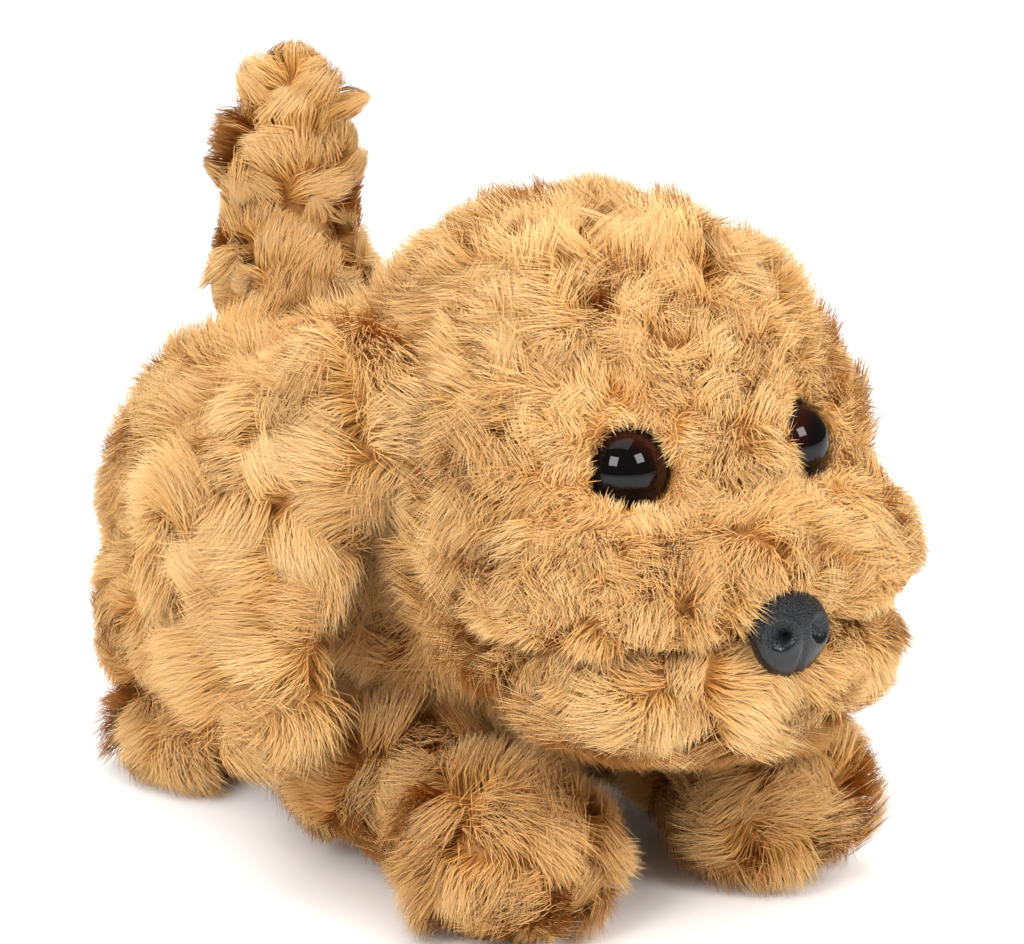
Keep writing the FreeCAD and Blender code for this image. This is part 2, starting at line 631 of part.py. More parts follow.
def gearbox_plates():
    for label, low_x, high_x, front in (("left", "11.2", "12.6", "12"), ("right", "-3.7", "-2.3", "22.4")):
        plate = box(f"{label}_plate", (low_x, high_x), (front, "60"), ("38", "58"))
        holes = []
        for which, radius in (("first", "0.78"), ("second", "0.78"), ("crank", "1.56"), ("pinion", "0.85")):
            name = f"{label}_{which}_hole"
            holes.append(rod(name, radius, "6", f"{low_x} - 2", GEAR_Y[which], "gear_z", X_AXIS))
        if label == "left":
            middles = [f"({GEAR_Y['first']} + {GEAR_Y['second']}) / 2",
                       f"({GEAR_Y['second']} + {GEAR_Y['crank']}) / 2"]
            spacers = []
            for number, y in enumerate(middles):
                for end, z in (("low", "gear_z - 8.9"), ("high", "gear_z + 8.7")):
                    spacers.append(rod(f"spacer_{number}_{end}", "0.9", "13.4", "-2.2", y, z, X_AXIS))
            plate = fuse("left_plate_spacers", plate, *spacers)
        node(cut(f"{label}_plate_body", plate, *holes), f"gearbox_plate_{label}")


gear_train()
drive_rods()
motor()
gearbox_plates()


# ---------------------------------------------------------------- tail

def tail():
    """The wagging tail: a plush sleeve over a plastic lever on a pin along Y."""
    base = opening("bracket_base", "57.5", "68.3", "chassis_top", "chassis_top + 2", "6")
    ears = []
    for end, y in (("front", "tail_y - 4.5"), ("back", "tail_y + 2.5")):
        ears.append(opening(f"bracket_ear_{end}", y, f"{y} + 2", "chassis_top + 1", "tail_z + 3.5", "3.6"))
    floor = opening("bracket_floor", "57.5", "tail_y + 4.5", "chassis_top + 1", "chassis_top + 3", "3.6")
    pin_hole = rod("bracket_hole", "1.53", "20", "0", "tail_y - 10", "tail_z", Y_AXIS)
    node(cut("bracket_body", fuse("bracket_whole", base, floor, *ears), pin_hole), "tail_bracket")
    node(rod("tail_rod_pin", "1.5", "10", "0", "tail_y - 5", "tail_z", Y_AXIS), "tail_pin")

    hub = rod("tail_hub", "4", "4.4", "0", "tail_y - 2.2", "tail_z", Y_AXIS)
    lever = rod("tail_lever", "2.1", "40", "0", "tail_y", "tail_z + 1.5")
    bore = rod("tail_bore", "1.55", "10", "0", "tail_y - 5", "tail_z", Y_AXIS)
    node(cut("tail_frame_body", fuse("tail_frame_whole", hub, lever), bore), "tail_frame")

    root = ball("tail_root", "tail_ball", "0", "tail_y", "tail_z")
    brush = limb("tail_brush", [(("0", "tail_y", "tail_z"), "9.5"), (("0", "tail_y", "brush_low"),
                                                                     "brush_radius"),
                                (("0", "tail_y", "brush_high"), "brush_tip")])
    hollow = ball("tail_hollow", "9.2", "0", "tail_y", "tail_z")
    below = opening("tail_below", "tail_y - 20", "tail_y + 20", "tail_z - 20", "tail_z - 5", "20")
    sleeve = rod("tail_sleeve", "2.4", "42.5", "0", "tail_y", "tail_z")
    node(cut("tail_cover", fuse("tail_outer", root, brush), hollow, below, sleeve), "tail_plush")


tail()


# ---------------------------------------------------------------- neck and head

def neck():
    """A fixed post from the chassis, and the yoke that turns on it and carries the nodding head."""
    flange = opening("neck_flange", "chassis_front - 2.2", "chassis_front", "44", "58.5", "9")
    arm = place(rod("neck_arm", "4.4", str(NECK_LENGTH), "0", "0", "0"), *neck_start(), NECK_TURN)
    behind = opening("neck_behind", "chassis_front", "30", "30", "70", "20")
    boss = rod("neck_boss", "6.4", "9.5", "0", "head_y", "head_z - 14")
    above = opening("neck_above", "head_y - 20", "head_y + 12", "head_z - 4.5", "head_z + 20", "20")
    pin = rod("neck_pin", "2.5", "12", "0", "head_y", "head_z - 6")
    lump = cut("neck_lump", fuse("neck_whole", flange, arm, boss), behind, above)
    node(fuse("neck_body", lump, pin), "neck_post")
    washer = rod("clip_disc", "4.4", "1.1", "0", "head_y", "head_z + 4.2")
    hole = rod("clip_hole", "2.5", "3", "0", "head_y", "head_z + 3.2")
    node(cut("clip_body", washer, hole), "neck_clip")

    hub = rod("yoke_hub", "6", "8.2", "0", "head_y", "head_z - 4.2")
    bar = rod("yoke_bar", "2.5", "2 * (shell_radius - 1)", "-shell_radius + 1", "head_y", "head_z", X_AXIS)
    bore = rod("yoke_bore", "2.55", "12", "0", "head_y", "head_z - 6")
    node(cut("yoke_body", fuse("yoke_whole", hub, bar), bore), "neck_yoke")


NECK_OPENING_TURN = FreeCAD.Rotation(
    FreeCAD.Vector(0, 0, 1),
    FreeCAD.Vector(0, math.cos(math.radians(size("neck_tilt"))), -math.sin(math.radians(size("neck_tilt")))))


def head_axis_rod(name, radius, start, length, rotation):
    """A cylinder along a direction from the head's centre, beginning at a distance from it."""
    way = rotation.multVec(FreeCAD.Vector(0, 0, 1))
    centre = (f"({way.x}) * ({start})", f"head_y + ({way.y}) * ({start})", f"head_z + ({way.z}) * ({start})")
    return rod(name, radius, length, *centre, rotation)


def eye_turn(side):
    """The way an eye looks: out to its side, forward and a little up."""
    yaw = math.radians(size("eye_yaw"))
    return FreeCAD.Rotation(FreeCAD.Vector(0, 0, 1), FreeCAD.Vector(side * math.sin(yaw), -math.cos(yaw),
                                                                    0.06))


def eye_rod(name, side, radius, start, length):
    """A cylinder along an eye's own axis; start is counted outward from the eye's seat."""
    way = eye_turn(side).multVec(FreeCAD.Vector(0, 0, 1))
    centre = (f"{side} * eye_x + ({way.x}) * ({start})", f"eye_y + ({way.y}) * ({start})",
              f"eye_z + ({way.z}) * ({start})")
    return rod(name, radius, length, *centre, eye_turn(side))


def snout(name, grow):
    radii = (f"16 + {grow}", f"21 + {grow}", f"9 + {grow}")
    return lobe(name, radii, ("0", "-64", "64.5"))


NOSE_STEM_Z = "nose_z + 5"
SCREW_SPOTS = {"crown": ("21.5", "head_z + 16"), "cheek": ("23", "head_z - 14")}


def head_half(front):
    """One half of the hard skull, which closes round the yoke's bar; the front half carries the snout."""
    tag = "front" if front else "back"
    outside = [ball(f"skull_{tag}_ball", "shell_radius", "0", "head_y", "head_z")]
    inside = [ball(f"skull_{tag}_hollow", "shell_radius - shell_wall", "0", "head_y", "head_z")]
    if front:
        outside.append(snout("snout_outer", 0))
        inside.append(snout("snout_inner", "-wall"))
    shell = cut(f"skull_{tag}_shell", fuse(f"skull_{tag}_outer", *outside), *inside)

    extras, holes = [], []
    for side in (1, -1):
        low_x = "24" if side > 0 else "-29.8"
        extras.append(rod(f"skull_{tag}_bearing_{mirrored(side)}", "4.6", "5.8", low_x, "head_y", "head_z",
                          X_AXIS))
        for spot, (x, z) in SCREW_SPOTS.items():
            name = f"skull_{tag}_{spot}_{mirrored(side)}"
            low_y = "head_y - 8" if front else "head_y"
            length = "8" if front else "12"
            extras.append(rod(f"{name}_post", "2.6", length, f"{side} * {x}", low_y, z, Y_AXIS))
            holes.append(rod(f"{name}_hole", "1.15", "40", f"{side} * {x}", "head_y - 7", z, Y_AXIS))
            holes.append(rod(f"{name}_sink", "2.1", "20", f"{side} * {x}", "head_y + 9.8", z, Y_AXIS))
        if front:
            lug_x = ("13.6", "16.2") if side > 0 else ("-16.2", "-13.6")
            extras.append(box(f"jaw_lug_{mirrored(side)}", lug_x, ("jaw_y - 3", "jaw_y + 3"), ("jaw_z - 3",
                                                                                               "jaw_z + 9.5")))
            jaw_hole_x = "12" if side > 0 else "-18"
            holes.append(rod(f"jaw_lug_hole_{mirrored(side)}", "1.22", "6", jaw_hole_x, "jaw_y", "jaw_z",
                             X_AXIS))
            holes.append(eye_rod(f"eye_stem_hole_{mirrored(side)}", side, "2.1", "-12", "20"))
    bearing_bore = rod(f"skull_{tag}_bore", "2.55", "80", "-40", "head_y", "head_z", X_AXIS)
    holes.append(bearing_bore)
    if front:
        holes.append(rod("nose_stem_hole", "2.1", "16", "0", "nose_y - 4", NOSE_STEM_Z, Y_AXIS))
        holes.append(rod("head_button_hole", "4.7", "20", "0", "head_y - 10", "head_z + 20"))
        kept = opening("front_half", "-120", "head_y - 0.05", "0", "160", "80")
    else:
        holes.append(head_axis_rod("skull_neck_hole", "neck_opening", "5", "40", NECK_OPENING_TURN))
        kept = opening("back_half", "head_y + 0.05", "40", "0", "160", "80")
    if front:
        holes.append(head_axis_rod("front_neck_hole", "neck_opening", "5", "40", NECK_OPENING_TURN))
    whole = cut(f"skull_{tag}_drilled", fuse(f"skull_{tag}_full", shell, *extras), *holes)
    limit = ball(f"skull_{tag}_limit", "shell_radius", "0", "head_y", "head_z")
    limits = [limit]
    if front:
        limits.append(opening("snout_limit", "-120", "head_y - 12", "0", "78", "60"))
    kept_shape = common(f"skull_{tag}_kept", whole, kept, fuse(f"skull_{tag}_limits",
                                                               *limits) if front else limit)
    node(kept_shape, f"skull_{tag}")


def skull_screws():
    screws = []
    for side in (1, -1):
        for spot, (x, z) in SCREW_SPOTS.items():
            name = f"skull_screw_{spot}_{mirrored(side)}"
            shank = rod(f"{name}_shank", "1.1", "16.8", f"{side} * {x}", "head_y - 6.5", z, Y_AXIS)
            head = rod(f"{name}_head", "1.9", "1.4", f"{side} * {x}", "head_y + 9.9", z, Y_AXIS)
            screws.append(fuse(name, shank, head))
    group("skull_screws", screws)


def eyes():
    washers = []
    for side in (1, -1):
        tag = mirrored(side)
        points = [("0", "-7.5"), ("1.9", "-7.5"), ("1.9", "0"), ("eye_radius - 0.8", "0"), ("eye_radius",
                                                                                            "0.8"),
                  ("eye_radius - 0.5", "2.2"), ("eye_radius - 1.9", "3.6"), ("eye_radius - 4.2",
                                                                             "eye_height - 0.4"),
                  ("0", "eye_height")]
        node(turned(f"eye_turned_{tag}", points, (f"{side} * eye_x", "eye_y", "eye_z"), eye_turn(side)),
             f"eye_{tag}")
        disc = eye_rod(f"eye_washer_disc_{tag}", side, "4.2", "-5", "1")
        hole = eye_rod(f"eye_washer_hole_{tag}", side, "1.9", "-6", "3")
        washers.append(cut(f"eye_washer_{tag}", disc, hole))
    group("eye_washers", washers)


def nose():
    """A moulded nose pressed into the snout, with two nostrils."""
    bulb = lobe("nose_bulb", ("nose_side", "nose_long", "nose_high"), ("0", "nose_y", "nose_z"))
    stem = rod("nose_stem", "1.9", "14", "0", "nose_y", NOSE_STEM_Z, Y_AXIS)
    nostrils = []
    for side in (1, -1):
        nostrils.append(ball(f"nostril_{mirrored(side)}", "1.5", f"{side} * 3.2", "nose_y - 5.6",
                             "nose_z - 0.6"))
    node(cut("nose_body", fuse("nose_solid", bulb, stem), *nostrils), "nose")
    disc = rod("nose_washer_disc", "3", "1", "0", "nose_y + 12", NOSE_STEM_Z, Y_AXIS)
    hole = rod("nose_washer_hole", "1.9", "3", "0", "nose_y + 11", NOSE_STEM_Z, Y_AXIS)
    node(cut("nose_washer_body", disc, hole), "nose_washer")


def head_button():
    stem = rod("head_button_stem", "4.5", "9.4", "0", "head_y - 10", "head_z + shell_radius - 8")
    flange = rod("head_button_flange", "5.6", "1", "0", "head_y - 10", "head_z + shell_radius - 8.8")
    node(fuse("head_button_body", stem, flange), "head_button")


def muzzle(name):
    """The muzzle with its two cheeks, one rounded bar across the face."""
    cheeks = [((f"{side} * cheek_x", "muzzle_y", "muzzle_z"), "muzzle_radius") for side in (-1, 1)]
    return limb(name, cheeks)


def chin_block(name, grow, lean):
    """The space in front of and below the jaw's hinge, whose back face leans forward by lean degrees."""
    block = doc.addObject("Part::Box", name)
    bind(block, Length="120", Width="60", Height="50")
    turn = FreeCAD.Rotation(FreeCAD.Vector(1, 0, 0), -lean)
    back = f"jaw_y - 2.2 + {grow}"
    corner = turn.multVec(FreeCAD.Vector(0, -60, -50))
    place(block, "-60", f"{back} + ({corner.y})", f"jaw_z - 0.6 + {grow} + ({corner.z})", turn)
    lid = opening(f"{name}_lid", "-140", "0", "0", f"jaw_z - 0.6 + {grow}", "70")
    return common(f"{name}_kept", block, lid)


def jaw():
    """The plastic jaw, hinged under the snout, and the plush chin on it."""
    arms, arm_rooms, holes = [], [], []
    for side in (1, -1):
        tag = mirrored(side)
        arm_x = ("10.8", "13.2") if side > 0 else ("-13.2", "-10.8")
        room_x = ("10.4", "13.6") if side > 0 else ("-13.6", "-10.4")
        arms.append(box(f"jaw_arm_{tag}", arm_x, ("jaw_y - 20", "jaw_y"), ("jaw_z - 7", "jaw_z - 3.6")))
        arms.append(box(f"jaw_cheek_{tag}", arm_x, ("jaw_y - 2.3", "jaw_y + 2.3"), ("jaw_z - 7", "jaw_z")))
        arms.append(rod(f"jaw_eye_{tag}", "2.3", "2.4", arm_x[0], "jaw_y", "jaw_z", X_AXIS))
        arm_rooms.append(box(f"jaw_room_{tag}", room_x, ("jaw_y - 20.4", "jaw_y + 4"), ("jaw_z - 7.4",
                                                                                        "jaw_z + 4")))
        hole_x = "9" if side > 0 else "-19"
        holes.append(rod(f"jaw_bore_{tag}", "1.25", "10", hole_x, "jaw_y", "jaw_z", X_AXIS))
        arm_rooms.append(box(f"lug_room_{tag}", ("10.4", "17.4") if side > 0 else ("-17.4", "-10.4"),
                             ("jaw_y - 4.2", "jaw_y + 4.2"), ("jaw_z - 4.4", "jaw_z + 12")))
    plate = box("jaw_plate", ("-13.2", "13.2"), ("jaw_y - 20", "jaw_y - 6"), ("jaw_z - 7", "jaw_z - 5"))
    arm_rooms.append(box("jaw_plate_room", ("-13.6", "13.6"), ("jaw_y - 20.4", "jaw_y - 4"), ("jaw_z - 7.4",
                                                                                              "jaw_z")))
    node(cut("jaw_body", fuse("jaw_whole", plate, *arms), *holes), "jaw_frame")
    pins = []
    for side in (1, -1):
        pin_x = "10.6" if side > 0 else "-16.4"
        pins.append(rod(f"jaw_pin_{mirrored(side)}", "1.2", "5.8", pin_x, "jaw_y", "jaw_z", X_AXIS))
    group("jaw_pins", pins)
    nose_room = lobe("chin_nose_room", ("nose_side + gap", "nose_long + gap", "nose_high + gap"),
                     ("0", "nose_y", "nose_z"))
    chin = common("chin_block_plush", muzzle("chin_muzzle"), chin_block("chin_space", "0",
                                                                        size("jaw_clearance_angle")))
    node(cut("chin_body", chin, nose_room, *arm_rooms), "chin_plush")
    return arm_rooms


def head_plush(jaw_rooms):
    """The stuffed head over the skull, with pits for the eyes and nose and a hole for the neck."""
    skull = ball("head_skull", "skull_radius", "0", "head_y", "head_z")
    rooms = [
        ball("shell_room", "shell_radius + gap", "0", "head_y", "head_z"),
        snout("snout_room", "gap"),
        head_axis_rod("neck_hole", "neck_opening + 3", "20", "40", NECK_OPENING_TURN),
        rod("head_button_room", "5.6", "8", "0", "head_y - 10", "head_z + shell_radius - 4"),
        chin_block("chin_room", "jaw_gap", 0),
        lobe("nose_room", ("nose_side + gap", "nose_long + gap", "nose_high + gap"), ("0", "nose_y",
                                                                                      "nose_z")),
        rod("nose_stem_room", "2.3", "16", "0", "nose_y", NOSE_STEM_Z, Y_AXIS),
    ]
    for side in (1, -1):
        rooms.append(eye_rod(f"eye_pit_{mirrored(side)}", side, "eye_radius + gap", "-0.3", "20"))
        rooms.append(eye_rod(f"eye_stem_room_{mirrored(side)}", side, "2.3", "-9", "12"))
    node(cut("head_cover", fuse("head_outer", skull, muzzle("head_muzzle")), *rooms, *jaw_rooms),
         "head_plush")


neck()
head_half(True)
head_half(False)
skull_screws()
eyes()
nose()
head_button()
head_plush(jaw())


# ---------------------------------------------------------------- ears

def ear(side):
    """A hanging plush ear: a narrow root on the head's side and a broad flap below."""
    tag = mirrored(side)
    lean = FreeCAD.Rotation(FreeCAD.Vector(0, 0, 1), -side * 24)
    root_turn = lean.multiply(FreeCAD.Rotation(FreeCAD.Vector(0, 1, 0), -side * 20))
    root_turn = root_turn.multiply(FreeCAD.Rotation(FreeCAD.Vector(1, 0, 0), 24))
    flap_turn = lean.multiply(FreeCAD.Rotation(FreeCAD.Vector(0, 1, 0), -side * 6))
    root = lobe(f"ear_root_{tag}", ("6.5", "15", "22"), (f"{side} * ear_root_x", "ear_root_y", "ear_root_z"),
                root_turn)
    flap = lobe(f"ear_flap_{tag}", ("7", "24", "31"), (f"{side} * ear_flap_x", "ear_flap_y", "ear_flap_z"),
                flap_turn)
    whole = fuse(f"ear_whole_{tag}", root, flap)
    skull = ball(f"ear_skull_room_{tag}", "skull_radius + 0.5", "0", "head_y", "head_z")
    node(cut(f"ear_body_{tag}", whole, skull), f"ear_{tag}")


ear(1)
ear(-1)


# ---------------------------------------------------------------- check and write

def check_and_write():
    doc.recompute()
    for item in doc.Objects:
        if "Invalid" in item.State or "Error" in item.State:
            raise SystemExit(f"{item.Label} failed: {item.State}")
    os.makedirs("parts", exist_ok=True)
    for item in NODES:
        shape = item.Shape
        if shape.isNull() or not shape.isValid() or shape.Volume <= 0:
            raise SystemExit(f"{item.Label} has no valid shape")
        shape.exportStep(f"parts/{item.Label}.step")
        print(f"{item.Label}: {len(shape.Solids)} solid(s), {shape.Volume:.0f} cubic mm")
    print(f"{len(NODES)} sub-parts written")


check_and_write()
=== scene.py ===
"""Golden plush puppy: soft skins, real fur strands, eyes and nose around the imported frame.

Sizes in this file are millimetres and degrees, turned into metres where a mesh or lamp is made.
"""

import math
import bpy
import numpy as np
from mathutils import Matrix, Vector


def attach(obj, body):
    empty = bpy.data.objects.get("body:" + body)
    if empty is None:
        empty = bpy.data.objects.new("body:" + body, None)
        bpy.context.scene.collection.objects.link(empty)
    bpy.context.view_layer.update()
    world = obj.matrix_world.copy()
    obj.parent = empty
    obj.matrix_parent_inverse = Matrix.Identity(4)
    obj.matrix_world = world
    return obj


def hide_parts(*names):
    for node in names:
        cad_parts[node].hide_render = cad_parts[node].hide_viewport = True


MM = 0.001
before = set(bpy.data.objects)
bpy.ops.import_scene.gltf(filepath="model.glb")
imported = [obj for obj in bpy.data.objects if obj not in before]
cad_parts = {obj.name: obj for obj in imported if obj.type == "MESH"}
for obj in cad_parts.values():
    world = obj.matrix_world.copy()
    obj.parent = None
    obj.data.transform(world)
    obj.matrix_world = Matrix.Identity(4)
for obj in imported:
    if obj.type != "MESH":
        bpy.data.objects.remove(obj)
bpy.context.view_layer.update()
SIDES = (("left", 1.0), ("right", -1.0))


# ---------------------------------------------------------------- shapes as distance fields

def egg(p, centre, radii, turn=0.0):
    """Distance to an ellipsoid that is turned about Z by some degrees."""
    q = p - np.array(centre, float)
    radii = np.array(radii, float)
    if turn:
        q = q @ np.array(Matrix.Rotation(math.radians(turn), 3, "Z"))
    q = q / radii
    k0 = np.linalg.norm(q, axis=1)
    k1 = np.linalg.norm(q / radii, axis=1)
    return k0 * (k0 - 1.0) / np.maximum(k1, 1e-6)


def egg_pair(p, centre, radii):
    """Distances to an ellipsoid on the left and to its mirror image on the right."""
    x, y, z = centre
    return egg(p, (x, y, z), radii), egg(p, (-x, y, z), radii)


def limb(p, start, end, r0, r1):
    """Distance to a round bar whose radius goes from r0 to r1."""
    a, b = np.array(start, float), np.array(end, float)
    d = b - a
    t = np.clip((p - a) @ d / (d @ d), 0, 1)
    return np.linalg.norm(p - a - t[:, None] * d, axis=1) - (r0 + (r1 - r0) * t)


def block(p, low, high):
    """Distance to a box, negative inside."""
    low, high = np.array(low, float), np.array(high, float)
    q = np.abs(p - (low + high) / 2) - (high - low) / 2
    return np.linalg.norm(np.maximum(q, 0), axis=1) + np.minimum(q.max(1), 0)


def joined(k, *fields):
    """Union of fields whose creases are rounded over k."""
    out = fields[0]
    for f in fields[1:]:
        h = np.clip(0.5 + 0.5 * (f - out) / k, 0, 1)
        out = f * (1 - h) + out * h - k * h * (1 - h)
    return out


def carved(k, field, *tools):
    """What is left of a field outside the tools, with edges rounded over k."""
    return -joined(k, -field, *tools)


def mirrored(p, s):
    """Points moved to the left half where s is 1 for the left side and -1 for the right."""
    return p * np.array((s, 1.0, 1.0))


# Places that several shapes share. The mouth is a level cut from MOUTH_Y forwards.
EYE = {side: np.array((17.1 * s, -66.4, 83.6)) for side, s in SIDES}
EYE_RADIUS, EYE_SOCKET_RADIUS, EYE_YAW = 7.5, 7.9, 38.0
NOSE = np.array((0.0, -89.6, 58.2))
NOSE_RADII = (7.4, 4.0, 7.3)
MOUTH_Z, MOUTH_Y = 57.2, -60.0
LIP_GAP_ABOVE, LIP_GAP_BELOW = 0.7, 0.5
BELLY_LOW, BELLY_HIGH = (-16.4, 10.6, -5.0), (16.4, 61.4, 19.0)
CHASSIS_LOW, CHASSIS_HIGH = (-19.5, 2.5, 17.6), (19.5, 69.0, 62.0)
FAR = 140.0


def torso_field(p):
    """Chest, rump and neck, open to the battery bay and hollow round the chassis."""
    body = joined(
        8.0,
        egg(p, (0, 8, 48), (30.5, 36, 34)),
        egg(p, (0, 56, 50.5), (35.5, 31.5, 35)),
        egg(p, (0, 60, 41), (38.5, 37.5, 31)),
        limb(p, (0, 8, 48), (0, 54, 50), 31.2, 34.5),
        limb(p, (0, -18, 62), (0, -2, 52), 22, 28),
    )
    return carved(1.5, body, block(p, BELLY_LOW, BELLY_HIGH), block(p, CHASSIS_LOW, CHASSIS_HIGH))


def flap_field(p):
    """The part of the belly that lifts off the battery bay."""
    body = limb(p, (0, 8, 48), (0, 56, 51.5), 36.6, 37.6)
    return carved(0.6, body, -block(p, (-15.8, 11.2, 8.0), (15.8, 60.8, 15.0)))


def face_field(p):
    """Skull, bridge of the nose and both cheeks, with hollows for the eyes."""
    soft = joined(
        7.0,
        egg(p, (0, -38, 80.5), (34.0, 34.5, 34.2)),
        egg(p, (0, -40, 81.5), (33.0, 33.5, 33.0)),
        egg(p, (0, -22.5, 84.5), (31.5, 29, 31.3)),
        *egg_pair(p, (20.0, -52, 81.0), (17, 18, 18)),
        *egg_pair(p, (19.2, -65.5, 62.5), (19, 18.5, 17)),
        *egg_pair(p, (19.5, -49, 62), (17, 18, 16)),
        egg(p, (0, -68, 79.5), (12, 9.5, 12)),
        egg(p, (0, -69, 64.0), (15, 18.5, 15.5)),
    )
    eyes = [np.linalg.norm(p - EYE[side], axis=1) - EYE_SOCKET_RADIUS for side, _ in SIDES]
    return carved(2.5, soft, *eyes)


def head_field(p):
    """The face without what is below the mouth."""
    below = block(p, (-FAR, -FAR, -FAR), (FAR, MOUTH_Y, MOUTH_Z + LIP_GAP_ABOVE))
    return carved(2.0, face_field(p), below)


def chin_field(p):
    """The lower jaw, cut off behind and above."""
    soft = joined(
        5.0,
        egg(p, (0, -69, 48.5), (21.5, 18.5, 12)),
        *egg_pair(p, (16, -66, 49.5), (18.5, 17, 11.5)),
    )
    behind = block(p, (-FAR, MOUTH_Y - 3, -FAR), (FAR, FAR, FAR))
    above = block(p, (-FAR, -FAR, MOUTH_Z - LIP_GAP_BELOW), (FAR, FAR, FAR))
    return carved(1.5, soft, behind, above)


def ear_field(p, s):
    """A flat ear from its root above the eye down to its round end."""
    q = mirrored(p, s)
    return joined(
        6.0,
        egg(q, (41.5, -26, 89.5), (5.8, 12.5, 13), -20),
        egg(q, (48.0, -17, 79), (4.2, 14.5, 15), -22),
        egg(q, (57.0, -10, 62), (4.4, 17.8, 18), -24),
        egg(q, (57.5, -14, 46), (4.0, 12.5, 17), -22),
    )


def tail_field(p):
    """An upright tail with a slimmer top and a thick root."""
    return joined(
        4.0,
        limb(p, (0, 68, 84), (0, 68, 114), 11.4, 8.8),
        limb(p, (0, 68, 114), (0, 68, 128.5), 8.2, 5.0),
        egg(p, (0, 66, 86), (12.8, 13, 15)),
    )


def above_floor(k, field, p, sole):
    """What is left of a field above the height of its sole."""
    return carved(k, field, block(p, (-FAR, -FAR, -FAR), (FAR, FAR, sole)))


def front_leg_field(p, s):
    """Upper arm, a forearm lying forwards and the paw."""
    q = mirrored(p, s)
    leg = joined(
        6.0,
        egg(q, (28, 6, 24), (10, 16, 15.5)),
        limb(q, (31, -6, 20), (26.5, -47, 15), 10.0, 10.4),
        egg(q, (28, -50.0, 13.5), (14, 12.5, 11.5)),
    )
    return above_floor(1.5, leg, q, 1.2)


def rear_leg_field(p, s):
    """Thigh and a flat foot."""
    q = mirrored(p, s)
    leg = joined(
        5.0,
        egg(q, (28.5, 62, 32), (13, 21, 20)),
        egg(q, (34, 55.5, 8.5), (6.8, 14.5, 7.2)),
    )
    return above_floor(1.5, leg, q, 1.0)


def uphill(field, p, reach=0.4):
    """Unit direction in which a field grows, which is its surface's outward normal."""
    slope = np.empty_like(p)
    for axis in range(3):
        step = np.zeros(3)
        step[axis] = reach
        slope[:, axis] = field(p + step) - field(p - step)
    return slope / np.maximum(np.linalg.norm(slope, axis=1), 1e-9)[:, None]


def surface(field, low, high, step):
    """Closed surface where a field is zero, one vertex to each crossed cell of a grid."""
    axes = [np.arange(a, b + step, step) for a, b in zip(low, high)]
    grid = np.stack(np.meshgrid(*axes, indexing="ij"), -1)
    size = grid.shape[:3]
    value = field(grid.reshape(-1, 3)).reshape(size)
    cells = tuple(n - 1 for n in size)
    total = np.zeros(cells + (3,))
    count = np.zeros(cells)
    crossed = []
    for axis in range(3):
        a = [slice(None)] * 3
        b = [slice(None)] * 3
        a[axis], b[axis] = slice(0, -1), slice(1, None)
        va, vb = value[tuple(a)], value[tuple(b)]
        hit = (va < 0) != (vb < 0)
        share = np.where(hit, va / np.where(hit, va - vb, 1), 0)
        point = grid[tuple(a)].copy()
        point[..., axis] += share * step
        crossed.append((hit, va < 0))
        others = [k for k in range(3) if k != axis]
        for i in (0, 1):
            for j in (0, 1):
                part = [slice(None)] * 3
                part[others[0]] = slice(i, cells[others[0]] + i)
                part[others[1]] = slice(j, cells[others[1]] + j)
                part = tuple(part)
                total += np.where(hit[part][..., None], point[part], 0)
                count += hit[part]
    used = count > 0
    number = np.full(cells, -1)
    number[used] = np.arange(used.sum())
    verts = total[used] / count[used][:, None]
    faces = []
    for axis in range(3):
        hit, inside = crossed[axis]
        u, v = [k for k in range(3) if k != axis]
        index = np.argwhere(hit)
        at_u, at_v = index[:, u], index[:, v]
        index = index[(at_u > 0) & (at_v > 0) & (at_u < cells[u]) & (at_v < cells[v])]
        low_side = inside[tuple(index.T)]
        ring = []
        for du, dv in ((1, 1), (0, 1), (0, 0), (1, 0)):
            at = index.copy()
            at[:, u] -= du
            at[:, v] -= dv
            ring.append(number[tuple(at.T)])
        quads = np.stack(ring, 1)
        flip = low_side == (axis == 1)
        quads[flip] = quads[flip][:, ::-1]
        faces.append(quads)
    return verts, np.concatenate(faces)


# ---------------------------------------------------------------- meshes

def new_mesh(name, verts, faces, smooth=True):
    """A mesh object from millimetre points and rows of corner numbers."""
    mesh = bpy.data.meshes.new(name)
    corners = faces.shape[1]
    mesh.vertices.add(len(verts))
    mesh.vertices.foreach_set("co", (verts * MM).astype(np.float32).ravel())
    mesh.loops.add(faces.size)
    mesh.loops.foreach_set("vertex_index", faces.astype(np.int32).ravel())
    mesh.polygons.add(len(faces))
    mesh.polygons.foreach_set("loop_start", np.arange(0, faces.size, corners, dtype=np.int32))
    mesh.update(calc_edges=True)
    mesh.validate()
    mesh.polygons.foreach_set("use_smooth", np.full(len(mesh.polygons), smooth))
    thing = bpy.data.objects.new(name, mesh)
    bpy.context.scene.collection.objects.link(thing)
    return thing


FUR_MAP = "OFBake"


def paint(mesh, tone, along):
    """The map that fur colours are read from: tone across, root to tip upwards."""
    layer = mesh.uv_layers.new(name=FUR_MAP)
    corner = np.empty(len(mesh.loops), np.int32)
    mesh.loops.foreach_get("vertex_index", corner)
    layer.data.foreach_set("uv", np.stack((tone[corner], along[corner]), 1).astype(np.float32).ravel())


# ---------------------------------------------------------------- materials

def tree(name):
    """A new material with its node tree and shader."""
    mat = bpy.data.materials.new(name)
    mat.use_nodes = True
    nt = mat.node_tree
    return mat, nt, nt.nodes["Principled BSDF"]


def ramp(nt, source, stops):
    """Colour looked up along (place, colour) stops."""
    node = nt.nodes.new("ShaderNodeValToRGB")
    band = node.color_ramp
    while len(band.elements) < len(stops):
        band.elements.new(0.5)
    for element, (place, colour) in zip(band.elements, stops):
        element.position = place
        element.color = (*colour, 1)
    nt.links.new(source, node.inputs["Fac"])
    return node.outputs["Color"]


